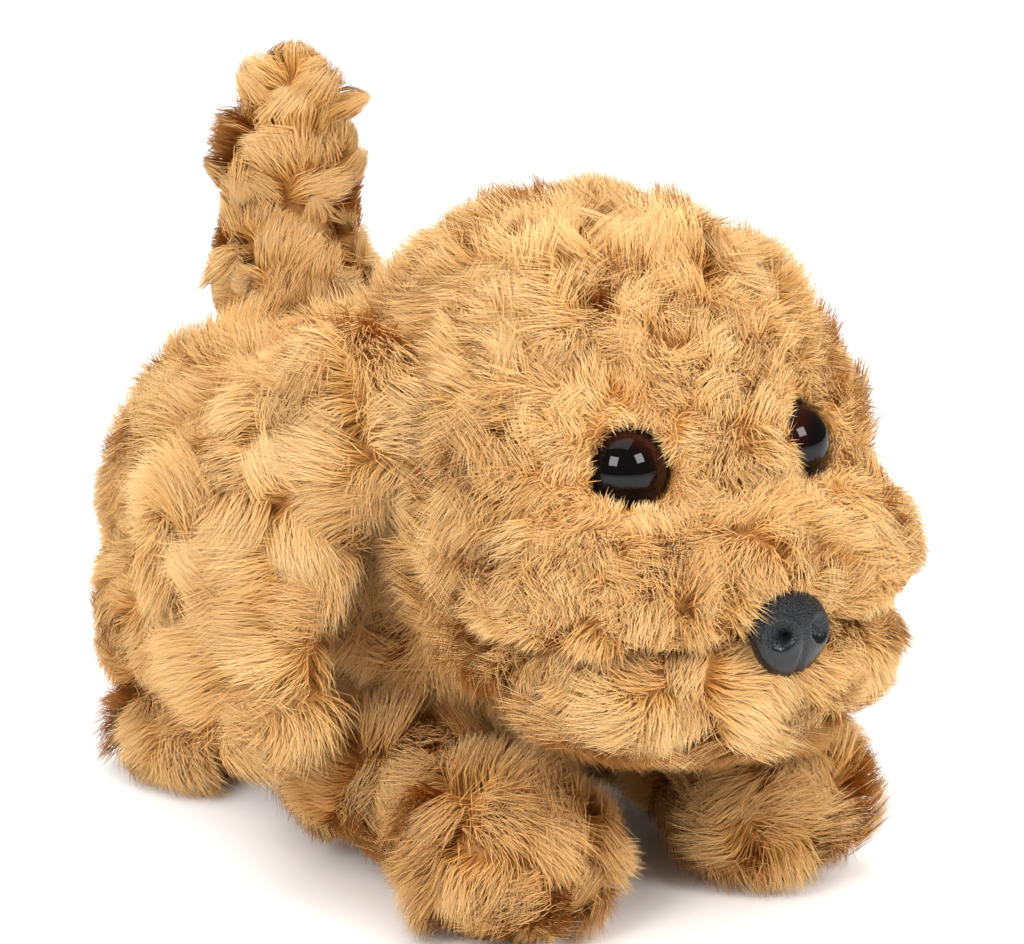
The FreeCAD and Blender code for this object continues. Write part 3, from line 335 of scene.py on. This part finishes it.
def map_height(nt):
    """Separated parts of the fur map, whose Y runs from root to tip or from pupil to rim."""
    uv = nt.nodes.new("ShaderNodeUVMap")
    uv.uv_map = FUR_MAP
    parts = nt.nodes.new("ShaderNodeSeparateXYZ")
    nt.links.new(uv.outputs[0], parts.inputs[0])
    return parts


TUFT_TONES = [(0.0, (0.78, 0.61, 0.43)), (0.5, (0.93, 0.91, 0.87)), (1.0, (1.10, 1.12, 1.18))]


def fur_material(name, root, middle, tip):
    """Fibre colour from dark root to pale tip, times the tone of the tuft that it grows in."""
    mat, nt, bsdf = tree(name)
    parts = map_height(nt)
    length = ramp(nt, parts.outputs["Y"], [(0.0, root), (0.38, middle), (0.95, tip)])
    tone = ramp(nt, parts.outputs["X"], TUFT_TONES)
    mix = nt.nodes.new("ShaderNodeMix")
    mix.data_type, mix.blend_type = "RGBA", "MULTIPLY"
    mix.inputs["Factor"].default_value = 1.0
    nt.links.new(length, mix.inputs["A"])
    nt.links.new(tone, mix.inputs["B"])
    nt.links.new(mix.outputs["Result"], bsdf.inputs["Base Color"])
    bsdf.inputs["Roughness"].default_value = 0.7
    bsdf.inputs["Specular IOR Level"].default_value = 0.12
    return mat


def moulded(name, colour, rough=0.5, metal=0.0, coat=0.0, grain=900.0, bump=0.08, vary=0.10):
    """Plastic or metal with fine grain, faint colour drift and uneven gloss."""
    mat, nt, bsdf = tree(name)
    place = nt.nodes.new("ShaderNodeTexCoord")
    drift = nt.nodes.new("ShaderNodeTexNoise")
    drift.inputs["Scale"].default_value = 70.0
    drift.inputs["Detail"].default_value = 5.0
    nt.links.new(place.outputs["Object"], drift.inputs["Vector"])
    low = tuple(c * (1 - vary) for c in colour)
    high = tuple(min(1, c * (1 + vary)) for c in colour)
    nt.links.new(ramp(nt, drift.outputs["Fac"], [(0.3, low), (0.7, high)]), bsdf.inputs["Base Color"])
    fine = nt.nodes.new("ShaderNodeTexNoise")
    fine.inputs["Scale"].default_value = grain
    fine.inputs["Detail"].default_value = 3.0
    nt.links.new(place.outputs["Object"], fine.inputs["Vector"])
    spread = nt.nodes.new("ShaderNodeMapRange")
    spread.inputs["To Min"].default_value = max(0.02, rough - 0.08)
    spread.inputs["To Max"].default_value = min(1.0, rough + 0.08)
    nt.links.new(fine.outputs["Fac"], spread.inputs["Value"])
    nt.links.new(spread.outputs["Result"], bsdf.inputs["Roughness"])
    relief = nt.nodes.new("ShaderNodeBump")
    relief.inputs["Strength"].default_value = bump
    relief.inputs["Distance"].default_value = 0.0002
    nt.links.new(fine.outputs["Fac"], relief.inputs["Height"])
    nt.links.new(relief.outputs["Normal"], bsdf.inputs["Normal"])
    bsdf.inputs["Metallic"].default_value = metal
    bsdf.inputs["Coat Weight"].default_value = coat
    bsdf.inputs["Coat Roughness"].default_value = 0.06
    return mat


FUR = fur_material("golden_fibre", (0.47, 0.185, 0.040), (0.66, 0.335, 0.088), (0.83, 0.575, 0.275))
UNDERCOAT = fur_material("plush_backing", (0.42, 0.190, 0.052), (0.48, 0.23, 0.07), (0.5, 0.28, 0.11))


# ---------------------------------------------------------------- fur

def unit(v):
    """Rows of v scaled to length 1."""
    return v / np.maximum(np.linalg.norm(v, axis=1), 1e-9)[:, None]


def flat(v, n):
    """What is left of v along the surface with normal n."""
    return v - n * (v * n).sum(1)[:, None]


BATCH = 4000


def nearest(points, centres):
    """Number of the centre nearest to each point, and how far it is, in batches that fit in memory."""
    index = np.empty(len(points), int)
    gap = np.empty(len(points))
    for start in range(0, len(points), BATCH):
        part = points[start:start + BATCH]
        squares = (part ** 2).sum(1)[:, None] + (centres ** 2).sum(1)[None] - 2 * part @ centres.T
        best = squares.argmin(1)
        index[start:start + BATCH] = best
        gap[start:start + BATCH] = np.sqrt(np.maximum(squares[np.arange(len(part)), best], 0))
    return index, gap


def scatter(field, verts, quads, density, rng):
    """Evenly strewn points on a surface, with their normals."""
    tris = np.concatenate((quads[:, [0, 1, 2]], quads[:, [0, 2, 3]]))
    a, b, c = (verts[tris[:, k]] for k in range(3))
    area = np.linalg.norm(np.cross(b - a, c - a), axis=1) / 2
    count = int(area.sum() * density)
    pick = np.searchsorted(np.cumsum(area), rng.random(count) * area.sum())
    pick = np.minimum(pick, len(tris) - 1)
    u, v = rng.random(count), rng.random(count)
    over = u + v > 1
    u[over], v[over] = 1 - u[over], 1 - v[over]
    p = a[pick] + (b[pick] - a[pick]) * u[:, None] + (c[pick] - a[pick]) * v[:, None]
    n = uphill(field, p)
    p = p - n * field(p)[:, None]
    return p, n


# A strand is a ribbon of two quads that ends in a point: five corners and three triangles.
LEVELS = np.array((0.0, 0.55, 1.0))
WIDTHS = np.array((0.16, 0.15, 0.02))
STRAND_CORNERS = 5
STRAND_FACES = np.array(((0, 2, 1), (2, 3, 1), (1, 3, 4)))
ROOT_DEPTH, FLOOR_GAP = 0.6, 0.15


def strands(name, body, root, normal, way, lift, length, seed, tuft=6.3, swirl=1.6, gather=0.24, fan=0.32,
            curl=0.65, shade=0.56):
    """Fur rooted at given points: tufts that each lean their own way, made of tapered ribbons.

    tuft is a tuft's width, swirl how far its lean strays, gather how much its tips meet, fan how much
    its strands spread, curl how far they bend sideways and shade its mean tone, which is painted light and
    shade for the whole part. Tone also darkens towards each tuft's border as painted shade of the crevices.
    """
    rng = np.random.default_rng(seed)
    count = len(root)
    tufts = max(8, int(count * tuft_share(root, tuft)))
    centre = root[rng.choice(count, tufts, replace=False)]
    for _ in range(2):
        index, _ = nearest(root, centre)
        members = np.maximum(np.bincount(index, minlength=tufts), 1)
        for axis in range(3):
            centre[:, axis] = np.bincount(index, root[:, axis], tufts) / members
    index, gap = nearest(root, centre)
    members = np.maximum(np.bincount(index, minlength=tufts), 1)

    def shared(v):
        """Mean of v over each tuft."""
        return np.stack([np.bincount(index, v[:, k], tufts) / members for k in range(3)], 1)

    tuft_normal = unit(shared(normal))
    tuft_way = unit(shared(way))
    wild = rng.normal(size=(tufts, 3))
    tuft_way = unit(flat(tuft_way + swirl * unit(flat(wild, tuft_normal)), tuft_normal))
    tuft_lift = rng.uniform(-0.22, 0.20, tufts)
    tuft_long = rng.uniform(0.80, 1.12, tufts)
    tuft_tone = rng.normal(0, 0.12, tufts)
    tuft_gather = gather * rng.uniform(0.2, 1.8, tufts)
    tuft_curl = rng.normal(0, curl, tufts)
    offset = root - centre[index]
    tangent = unit(flat(tuft_way[index] + fan * flat(offset, normal) / (0.5 * tuft)
                        + 0.24 * rng.normal(size=(count, 3)), normal))
    rise = np.clip(lift + tuft_lift[index] + rng.normal(0, 0.05, count), 0.12, 0.97)
    long = length * tuft_long[index] * rng.uniform(0.80, 1.06, count)
    run = np.sqrt(1 - rise ** 2)
    foot = root - normal * ROOT_DEPTH
    sideways = np.cross(normal, tangent)
    bend = (tuft_curl[index] + rng.normal(0, 0.08, count))[:, None]
    knee_height = (long * np.minimum(rise * 0.62 + 0.12, 0.7))[:, None]
    knee_reach = (long * run * 0.32)[:, None]
    knee = foot + normal * knee_height + (tangent - bend * sideways) * knee_reach
    tip = foot + normal * (long * rise)[:, None] + unit(tangent + bend * sideways) * (long * run)[:, None]
    knee = knee + rng.normal(0, 0.25, (count, 3))
    tip = tip + rng.normal(0, 0.55, (count, 3))
    tuft_tip = shared(tip)
    tip = tip + np.minimum(tuft_gather, 0.8)[index, None] * (tuft_tip[index] - tip)
    s = LEVELS[None, :, None]
    line = (1 - s) ** 2 * foot[:, None] + 2 * s * (1 - s) * knee[:, None] + s ** 2 * tip[:, None]
    line[:, :, 2] = np.maximum(line[:, :, 2], FLOOR_GAP)
    direction = unit(tip - foot)
    across = unit(np.cross(direction, normal) + 1e-6)
    other = np.cross(direction, across)
    angle = rng.uniform(-1.0, 1.0, count)[:, None]
    side = across * np.cos(angle) + other * np.sin(angle)
    width = rng.uniform(0.8, 1.2, count)[:, None, None] * WIDTHS[None, :, None] / 2
    left, right = line - side[:, None] * width, line + side[:, None] * width
    verts = np.concatenate((left[:, :2], right[:, :2], line[:, 2:]), 1).reshape(-1, 3)
    faces = (np.arange(count)[:, None, None] * STRAND_CORNERS + STRAND_FACES[None]).reshape(-1, 3)
    # Painted shade: strands towards a tuft's border get a darker tone, standing in for the shade in the
    # crevices between tufts.
    crevice_shade = np.clip(gap / (0.62 * tuft), 0, 1)
    tone = np.clip(shade + tuft_tone[index] - 0.22 * crevice_shade ** 2 + rng.normal(0, 0.05, count), 0.01, 0.99)
    along = np.tile(np.concatenate((LEVELS[:2], LEVELS[:2], LEVELS[2:])), count)
    piece = new_mesh(name, verts, faces)
    soft_normals(piece, *(np.repeat(v, STRAND_CORNERS, 0) for v in (normal, direction, side)))
    paint(piece.data, np.repeat(tone, STRAND_CORNERS), np.clip(along, 0.01, 0.99))
    piece.data.materials.append(FUR)
    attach(piece, body)
    return piece


def tuft_share(root, tuft):
    """Tufts to each root, so that tufts are about one tuft width apart."""
    sample = root[::max(1, len(root) // 400)]
    gap = np.sqrt(((sample[:, None] - root[None]) ** 2).sum(2))
    gap[gap < 1e-9] = np.inf
    spacing = np.median(gap.min(1)) * 2.0
    return min(0.2, (spacing / tuft) ** 2)


def soft_normals(piece, skin, direction, side):
    """Shading normals between each ribbon's own and its skin's, so that tufts shade as soft volumes."""
    own = np.cross(side, direction)
    own = own * np.sign((own * skin).sum(1))[:, None]
    mixed = unit(0.25 * own + 0.75 * skin)
    piece.data.normals_split_custom_set_from_vertices(mixed.tolist())


PER_PIECE = 60000
CLEAR_OF_OTHERS = 99.0
DEEPEST_ROOT = -3.0


def coat(name, body, field, box, density, pile, way, lift, seed, near=(), keep=None, replaces=(), fill=0.7,
         step=2.0, **style):
    """A soft skin with fur on it, pressed short close to the near fields and left out inside them.

    pile, way and lift give each strand's length, flow and rise from its root and normal.
    """
    verts, quads = surface(field, *box, step)
    skin = new_mesh("skin_" + name, verts, quads)
    n = uphill(field, verts)
    rng = np.random.default_rng(seed)
    paint(skin.data, np.clip(0.5 + 0.12 * rng.normal(size=len(verts)), 0, 1), np.full(len(verts), 0.12))
    skin.data.materials.append(UNDERCOAT)
    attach(skin, body)
    if replaces:
        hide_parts(*replaces)
    root, normal = scatter(field, verts, quads, density, rng)
    gap = np.full(len(root), CLEAR_OF_OTHERS)
    for other in near:
        gap = np.minimum(gap, other(root))
    good = gap > DEEPEST_ROOT
    if keep is not None:
        good &= keep(root, normal)
    root, normal, gap = root[good], normal[good], gap[good]
    length = pile(root, normal) * (0.42 + 0.58 * np.clip((gap + 1.5) / 11.0, 0, 1))
    flow = unit(flat(way(root, normal), normal))
    rise = lift(root, normal) if callable(lift) else np.full(len(root), lift)
    parts = math.ceil(len(root) / PER_PIECE)
    order = np.argsort(root[:, 0] > 0, kind="stable") if parts > 1 else np.arange(len(root))
    for k, chunk in enumerate(np.array_split(order, parts)):
        fur_name = "fur_" + name + (f"_{k + 1}" if parts > 1 else "")
        strands(fur_name, body, root[chunk], normal[chunk], flow[chunk], rise[chunk], length[chunk],
                seed + 50 + k, **style)


def towards(*v):
    """A flow with one direction all over."""
    return lambda p, n: np.tile(np.array(v, float), (len(p), 1))


def even(length):
    """A pile with one length all over."""
    return lambda p, n: np.full(len(p), length)


def shorter_below(height, low, high):
    """A pile of the low length under a height, and of the high length above it."""
    return lambda p, n: np.where(p[:, 2] < height, low, high)


def side_box(s, low, high):
    """Corners of a box given for the left side, for the side that s stands for."""
    near, far = sorted((low[0] * s, high[0] * s))
    return (near,) + low[1:], (far,) + high[1:]


# The head: fur flows out from the bridge of the nose, and is short round the eyes and nose.
BRIDGE = np.array((0.0, -84.0, 73.0))


def near_eye(p):
    """Distance to the nearer eye's middle."""
    gaps = [np.linalg.norm(p - EYE[side], axis=1) for side, _ in SIDES]
    return np.minimum(*gaps)


def away_from_eyes(p):
    """Unit direction from the nearer eye."""
    first = np.linalg.norm(p - EYE["left"], axis=1) < np.linalg.norm(p - EYE["right"], axis=1)
    return unit(p - np.where(first[:, None], EYE["left"], EYE["right"]))


def from_lip(p):
    """0 at the edges of the mouth, 1 from a few millimetres away."""
    return np.clip((np.abs(p[:, 2] - MOUTH_Z) - 1.0) / 4.0 + (p[:, 1] > MOUTH_Y + 5), 0, 1)


def lip_share(p):
    """How much of its length fur keeps near the mouth."""
    return 0.45 + 0.55 * from_lip(p)


def head_pile(p, n):
    """Shorter on the face, shortest at the eyes, the nose and the lips."""
    on_face = np.clip((-54.0 - p[:, 1]) / 10.0, 0, 1)
    long = 12.2 - 4.6 * on_face
    at_eye = 2.2 + 0.55 * np.maximum(near_eye(p) - EYE_RADIUS, 0)
    at_nose = 4.2 + 0.8 * np.maximum(np.linalg.norm(p - NOSE, axis=1) - 7.0, 0)
    return np.minimum(np.minimum(long, at_eye), at_nose) * lip_share(p)


def head_way(p, n):
    """Out from the bridge, down at the back, and away from the eyes, the nose and the mouth."""
    flow = unit(p - BRIDGE)
    flow = flow + np.array((0, 0.0, -0.35)) * (p[:, 1] > -50)[:, None]
    eye = np.clip(1.6 - near_eye(p) / 11.0, 0, 1.5)[:, None]
    nose = np.clip(1.9 - np.linalg.norm(p - NOSE, axis=1) / 9.0, 0, 1.5)[:, None]
    lip = (1 - from_lip(p))[:, None] * np.array((0, 0, 1.6))
    return flow + 3.2 * eye * away_from_eyes(p) + 0.8 * nose * unit(p - NOSE) + lip


def head_lift(p, n):
    """Fur lies flatter near the eyes."""
    return np.clip(0.74 - 0.3 * np.clip(1.6 - near_eye(p) / 11.0, 0, 1), 0.3, 0.9)


def torso_keep(p, n):
    """No fur round the battery opening or inside the hollow."""
    opening = (np.abs(p[:, 0]) < 18.5) & (p[:, 1] > 8) & (p[:, 1] < 64) & (p[:, 2] < 20)
    inside = block(p, CHASSIS_LOW, CHASSIS_HIGH) < 2.0
    return ~(opening | (inside & (p[:, 2] > 16)))


EARS = tuple(lambda p, s=s: ear_field(p, s) for _, s in SIDES)
LEGS = tuple(lambda p, s=s, leg=leg: leg(p, s) for _, s in SIDES for leg in (front_leg_field, rear_leg_field))


def chin_way(p, n):
    """Out from the middle of the mouth."""
    return unit(p - np.array((0, -50, 66.0)))


# The shade values paint light and shade onto whole parts: the ears lighter where light falls, the torso and
# legs darker where they lie in shade under the head and ears; the chin is also set lighter.
coat("head", "head", head_field, ((-44, -96, 40), (44, 14, 122)), 9.0, head_pile, head_way, head_lift, 11,
     near=(torso_field,) + EARS, replaces=("head_plush",), tuft=5.0)
coat("chin", "jaw", chin_field, ((-38, -92, 32), (38, -56, 60)), 9.0,
     lambda p, n: 8.8 * lip_share(p), chin_way, 0.62, 23,
     keep=lambda p, n: head_field(p) > DEEPEST_ROOT, replaces=("chin_plush",),
     swirl=0.9, tuft=5.5, shade=0.64)
coat("torso", "chassis", torso_field, ((-44, -45, 6), (44, 98, 94)), 6.6,
     even(12.6), towards(0, 0.75, -0.65), 0.72, 31,
     near=(head_field, tail_field) + EARS + LEGS, keep=torso_keep, replaces=("torso_plush",), shade=0.50)
coat("belly_flap", "flap", flap_field, ((-20, 8, 6), (20, 64, 18)), 2.0,
     even(5.0), towards(0, 1, 0), 0.5, 37,
     keep=lambda p, n: n[:, 2] < -0.3, replaces=("belly_flap", "belly_flap_tape"), step=1.5, fill=0.3)
coat("tail", "tail", tail_field, ((-18, 48, 64), (18, 86, 138)), 9.5,
     lambda p, n: 9.5 + 1.8 * (p[:, 2] > 112), towards(0, 0, 1),
     lambda p, n: np.where(p[:, 2] > 120, 0.88, 0.70), 41,
     near=(torso_field,), replaces=("tail_plush",), tuft=5.5, gather=0.5)
for side, s in SIDES:
    coat("ear_" + side, f"ear_{side}_flap", lambda p, s=s: ear_field(p, s),
         side_box(s, (30, -46, 24), (68, 24, 116)), 8.4,
         lambda p, n, s=s: np.where(n[:, 0] * s < -0.3, 5.0, 12.5), towards(0.25 * s, 0.15, -1),
         0.62, 53 + int(s),
         near=(head_field, torso_field), replaces=("ear_" + side,), fill=0.5, tuft=7.5, shade=0.66)
    coat("front_leg_" + side, "front_leg_" + side, lambda p, s=s: front_leg_field(p, s),
         side_box(s, (6, -72, -1), (50, 32, 46)), 7.6,
         shorter_below(6, 6.0, 11.0), towards(0.25 * s, -0.9, -0.3), 0.70, 61 + int(s),
         near=(torso_field,), replaces=("front_leg_plush_" + side,), shade=0.44)
    coat("rear_leg_" + side, "rear_leg_" + side, lambda p, s=s: rear_leg_field(p, s),
         side_box(s, (10, 34, -1), (46, 92, 58)), 7.0,
         shorter_below(4, 5.0, 10.5), towards(0.25 * s, -0.2, -0.9), 0.68, 71 + int(s),
         near=(torso_field,), replaces=("rear_leg_plush_" + side,), shade=0.48)


# ---------------------------------------------------------------- eyes and nose

EYE_RINGS = [
    (0.0, (0.002, 0.002, 0.002)), (0.50, (0.003, 0.002, 0.002)), (0.64, (0.012, 0.003, 0.002)),
    (0.80, (0.026, 0.006, 0.004)), (0.90, (0.004, 0.002, 0.002)), (1.0, (0.002, 0.002, 0.002)),
]


def eye_material():
    """Black pupil, dark red-brown ring and black rim under a hard clear gloss."""
    mat, nt, bsdf = tree("eye_gloss")
    nt.links.new(ramp(nt, map_height(nt).outputs["Y"], EYE_RINGS), bsdf.inputs["Base Color"])
    bsdf.inputs["Roughness"].default_value = 0.03
    bsdf.inputs["Specular IOR Level"].default_value = 0.3
    bsdf.inputs["IOR"].default_value = 1.45
    return mat


def ring_quads(rings, turns):
    """Faces between rings of points that each go once round."""
    k = np.arange(rings - 1)[:, None] * turns
    j = np.arange(turns)[None]
    after = (j + 1) % turns
    return np.stack((k + j, k + after, k + turns + after, k + turns + j), -1).reshape(-1, 4)


def lathe(name, profile, turns, centre, yaw):
    """A shape of revolution whose axis points to -Y turned by yaw, from (radius, height) pairs."""
    profile = np.array(profile, float)
    angle = np.linspace(0, 2 * math.pi, turns, endpoint=False)
    r, h = profile[:, 0][:, None], profile[:, 1][:, None]
    ring = np.stack((r * np.cos(angle), -np.broadcast_to(h, (len(profile), turns)), r * np.sin(angle)), -1)
    spin = np.array(Matrix.Rotation(math.radians(yaw), 3, "Z"))
    verts = ring.reshape(-1, 3) @ spin.T + np.array(centre)
    return new_mesh(name, verts, ring_quads(len(profile), turns))


EYE_MATERIAL = eye_material()
EYE_TURNS = 64
EYE_SWEEP = np.radians(np.linspace(0.5, 84, 40))
EYE_DOME = [(EYE_RADIUS * math.sin(a), EYE_RADIUS * 0.98 * math.cos(a)) for a in EYE_SWEEP]
EYE_RIM = [(7.62, 0.55), (7.72, 0.2), (7.62, -0.3), (6.2, -0.9), (2.0, -1.0), (0.2, -1.0)]
for side, s in SIDES:
    profile = EYE_DOME + EYE_RIM
    eye = lathe("eye_dome_" + side, profile, EYE_TURNS, EYE[side], EYE_YAW * s)
    from_pupil = np.repeat(np.linspace(0, 1, len(profile)), EYE_TURNS) * len(profile) / len(EYE_DOME)
    paint(eye.data, np.full(len(from_pupil), 0.5), np.clip(from_pupil, 0, 1))
    eye.data.materials.append(EYE_MATERIAL)
    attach(eye, "head")
    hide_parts("eye_" + side)


def hump(distance, width):
    """1 in the middle, falling smoothly to 0 over a width or two."""
    return np.exp(-(distance / width) ** 2)


def nose_piece():
    """Moulded nose: a rounded triangle with a middle groove and two nostrils."""
    rings, turns = 72, 96
    a = np.linspace(0.01, math.pi - 0.01, rings)[:, None]
    b = np.linspace(0, 2 * math.pi, turns, endpoint=False)[None]
    way = np.stack((np.sin(a) * np.cos(b), -np.cos(a) * np.ones_like(b), np.sin(a) * np.sin(b)), -1)
    way = way.reshape(-1, 3)
    x, y, z = way.T
    reach = np.ones(len(way))
    for _, s in SIDES:
        pit = np.array((0.56 * s, -0.81, 0.16))
        gap = np.linalg.norm((way - pit / np.linalg.norm(pit)) * np.array((1.0, 1.0, 1.2)), axis=1)
        nostril, nostril_lip = hump(gap, 0.25), hump(gap - 0.44, 0.12)
        wing = hump(np.linalg.norm(way - np.array((0.86 * s, -0.45, -0.25)), axis=1), 0.3)
        reach -= 0.62 * nostril
        reach += 0.06 * nostril_lip
        reach += 0.04 * wing
    groove = hump(x, 0.075) * np.clip(0.35 - z, 0, 1) * (y < 0)
    reach -= 0.10 * groove
    verts = way * np.array(NOSE_RADII) * reach[:, None]
    verts[:, 0] *= 1.0 + 0.10 * np.clip(z, -1, 1)
    return new_mesh("nose_button", verts + NOSE, ring_quads(rings, turns))


def nose_material():
    """Charcoal plastic: pebbled on top, smooth and shinier low down."""
    mat, nt, bsdf = tree("nose_moulding")
    place = nt.nodes.new("ShaderNodeTexCoord")
    parts = nt.nodes.new("ShaderNodeSeparateXYZ")
    nt.links.new(place.outputs["Object"], parts.inputs[0])
    high = nt.nodes.new("ShaderNodeMapRange")
    high.inputs["From Min"].default_value = (NOSE[2] - 1.5) * MM
    high.inputs["From Max"].default_value = (NOSE[2] + 2.5) * MM
    nt.links.new(parts.outputs["Z"], high.inputs["Value"])
    pebble = nt.nodes.new("ShaderNodeTexVoronoi")
    pebble.inputs["Scale"].default_value = 2600.0
    nt.links.new(place.outputs["Object"], pebble.inputs["Vector"])
    rough = nt.nodes.new("ShaderNodeMapRange")
    rough.inputs["To Min"].default_value = 0.20
    rough.inputs["To Max"].default_value = 0.42
    nt.links.new(high.outputs["Result"], rough.inputs["Value"])
    nt.links.new(rough.outputs["Result"], bsdf.inputs["Roughness"])
    depth = nt.nodes.new("ShaderNodeMath")
    depth.operation = "MULTIPLY"
    nt.links.new(pebble.outputs["Distance"], depth.inputs[0])
    nt.links.new(high.outputs["Result"], depth.inputs[1])
    relief = nt.nodes.new("ShaderNodeBump")
    relief.inputs["Strength"].default_value = 0.8
    relief.inputs["Distance"].default_value = 0.0003
    nt.links.new(depth.outputs[0], relief.inputs["Height"])
    nt.links.new(relief.outputs["Normal"], bsdf.inputs["Normal"])
    stone = ramp(nt, pebble.outputs["Distance"], [(0.0, (0.010, 0.011, 0.013)), (1.0, (0.005, 0.006, 0.007))])
    nt.links.new(stone, bsdf.inputs["Base Color"])
    bsdf.inputs["Specular IOR Level"].default_value = 0.4
    return mat


nose = nose_piece()
nose.data.materials.append(nose_material())
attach(nose, "head")
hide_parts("nose")


# ---------------------------------------------------------------- the carried-over CAD pieces

FINISH = {
    "shell_plastic": moulded("shell", (0.74, 0.72, 0.67), 0.46),
    "frame_plastic": moulded("grey_frame", (0.20, 0.22, 0.25), 0.48),
    "gear_plastic": moulded("acetal", (0.86, 0.84, 0.76), 0.34, grain=1400, bump=0.04),
    "steel": moulded("steel", (0.58, 0.59, 0.61), 0.27, metal=1.0, grain=1800, bump=0.05),
    "brass_part": moulded("brass", (0.74, 0.55, 0.22), 0.25, metal=1.0, grain=1800, bump=0.05),
    "battery_wrap": moulded("battery_sleeve", (0.12, 0.14, 0.17), 0.3, coat=0.5),
    "board_green": moulded("solder_mask", (0.03, 0.20, 0.08), 0.35, coat=0.4),
    "chip_black": moulded("epoxy", (0.025, 0.025, 0.027), 0.55),
    "button_plastic": moulded("button", (0.60, 0.14, 0.10), 0.4),
    "eye_plastic": EYE_MATERIAL,
    "nose_plastic": moulded("nose_stem", (0.02, 0.02, 0.022), 0.5),
    "golden_plush": UNDERCOAT,
    "belly_fabric": UNDERCOAT,
}
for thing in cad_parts.values():
    slot_name = thing.data.materials[0].name.split(".")[0]
    thing.data.materials.clear()
    thing.data.materials.append(FINISH[slot_name])


# ---------------------------------------------------------------- floor, light and camera

def paper(name, colour, rough):
    """Matt paper with a faint drift of tone."""
    mat, nt, bsdf = tree(name)
    grain = nt.nodes.new("ShaderNodeTexNoise")
    grain.inputs["Scale"].default_value = 40.0
    darker = tuple(c * 0.985 for c in colour)
    nt.links.new(ramp(nt, grain.outputs["Fac"], [(0.3, darker), (0.7, colour)]), bsdf.inputs["Base Color"])
    bsdf.inputs["Roughness"].default_value = rough
    bsdf.inputs["Specular IOR Level"].default_value = 0.1
    return mat


FLOOR_HALF = 9000.0
floor_corners = FLOOR_HALF * np.array(((-1, -1, 0), (1, -1, 0), (1, 1, 0), (-1, 1, 0)))
floor = new_mesh("floor", floor_corners, np.array(((0, 1, 2, 3),)), smooth=False)
floor.data.materials.append(paper("floor_paper", (0.97, 0.97, 0.97), 0.8))


def softbox(name, place, aim, width, height, power):
    """A white area light of some watts that faces a point."""
    light = bpy.data.lights.new(name, "AREA")
    light.shape = "RECTANGLE"
    light.size, light.size_y = width * MM, height * MM
    light.energy = power
    lamp = bpy.data.objects.new(name, light)
    lamp.location = Vector(place) * MM
    lamp.rotation_euler = (Vector(aim) - Vector(place)).to_track_quat("-Z", "Y").to_euler()
    bpy.context.scene.collection.objects.link(lamp)


AIM = (0, -10, 60)
softbox("key", (180, -760, 620), AIM, 330, 330, 4.4)
softbox("fill", (-760, -420, 620), AIM, 370, 390, 5.8)
softbox("top", (-60, 60, 1100), AIM, 900, 900, 4.0)
softbox("back", (300, 900, 500), AIM, 700, 500, 1.5)


def studio_world(low, high, in_gloss, behind):
    """White surroundings, brighter towards the top, with their own strength in gloss and as backdrop."""
    world = bpy.data.worlds.new("studio")
    world.use_nodes = True
    nodes, wire = world.node_tree.nodes, world.node_tree.links.new
    sky, path = nodes["Background"], nodes.new("ShaderNodeLightPath")
    sky.inputs["Color"].default_value = (1, 1, 1, 1)
    direction, height = nodes.new("ShaderNodeTexCoord"), nodes.new("ShaderNodeSeparateXYZ")
    wire(direction.outputs["Generated"], height.inputs[0])
    glow = nodes.new("ShaderNodeMapRange")
    glow.inputs["To Min"].default_value, glow.inputs["To Max"].default_value = low, high
    wire(height.outputs["Z"], glow.inputs["Value"])
    level = glow.outputs["Result"]
    for ray, strength in (("Is Glossy Ray", in_gloss), ("Is Camera Ray", behind)):
        swap = nodes.new("ShaderNodeMix")
        swap.inputs["B"].default_value = strength
        wire(path.outputs[ray], swap.inputs["Factor"])
        wire(level, swap.inputs["A"])
        level = swap.outputs["Result"]
    wire(level, sky.inputs["Strength"])
    return world


bpy.context.scene.world = studio_world(0.62, 1.36, in_gloss=0.10, behind=1.08)
bpy.context.scene.view_settings.view_transform = "Standard"

# The camera looks at the middle of the object's box, moved a little as the photograph frames it.
CAMERA_TURN, CAMERA_RISE, CAMERA_GAP = math.radians(-34.0), math.radians(14.0), 700.0
MIDDLE, SHIFT_RIGHT, SHIFT_UP = (0, 7, 66.5), 8.5, -0.74


def photo_camera():
    """A long lens at the photograph's angle."""
    level = math.cos(CAMERA_RISE)
    back = Vector((math.sin(CAMERA_TURN) * level, -math.cos(CAMERA_TURN) * level, math.sin(CAMERA_RISE)))
    right = Vector((math.cos(CAMERA_TURN), math.sin(CAMERA_TURN), 0))
    upward = back.cross(right)
    data = bpy.data.cameras.new("camera")
    data.lens, data.sensor_width = 133.6, 36.0
    data.clip_start, data.clip_end = 0.01, 40.0
    camera = bpy.data.objects.new("camera", data)
    look_at = Vector(MIDDLE) + right * SHIFT_RIGHT + upward * SHIFT_UP
    camera.location = (look_at + back * CAMERA_GAP) * MM
    camera.rotation_euler = Matrix((right, upward, back)).transposed().to_euler()
    bpy.context.scene.collection.objects.link(camera)
    return camera


bpy.context.scene.camera = photo_camera()
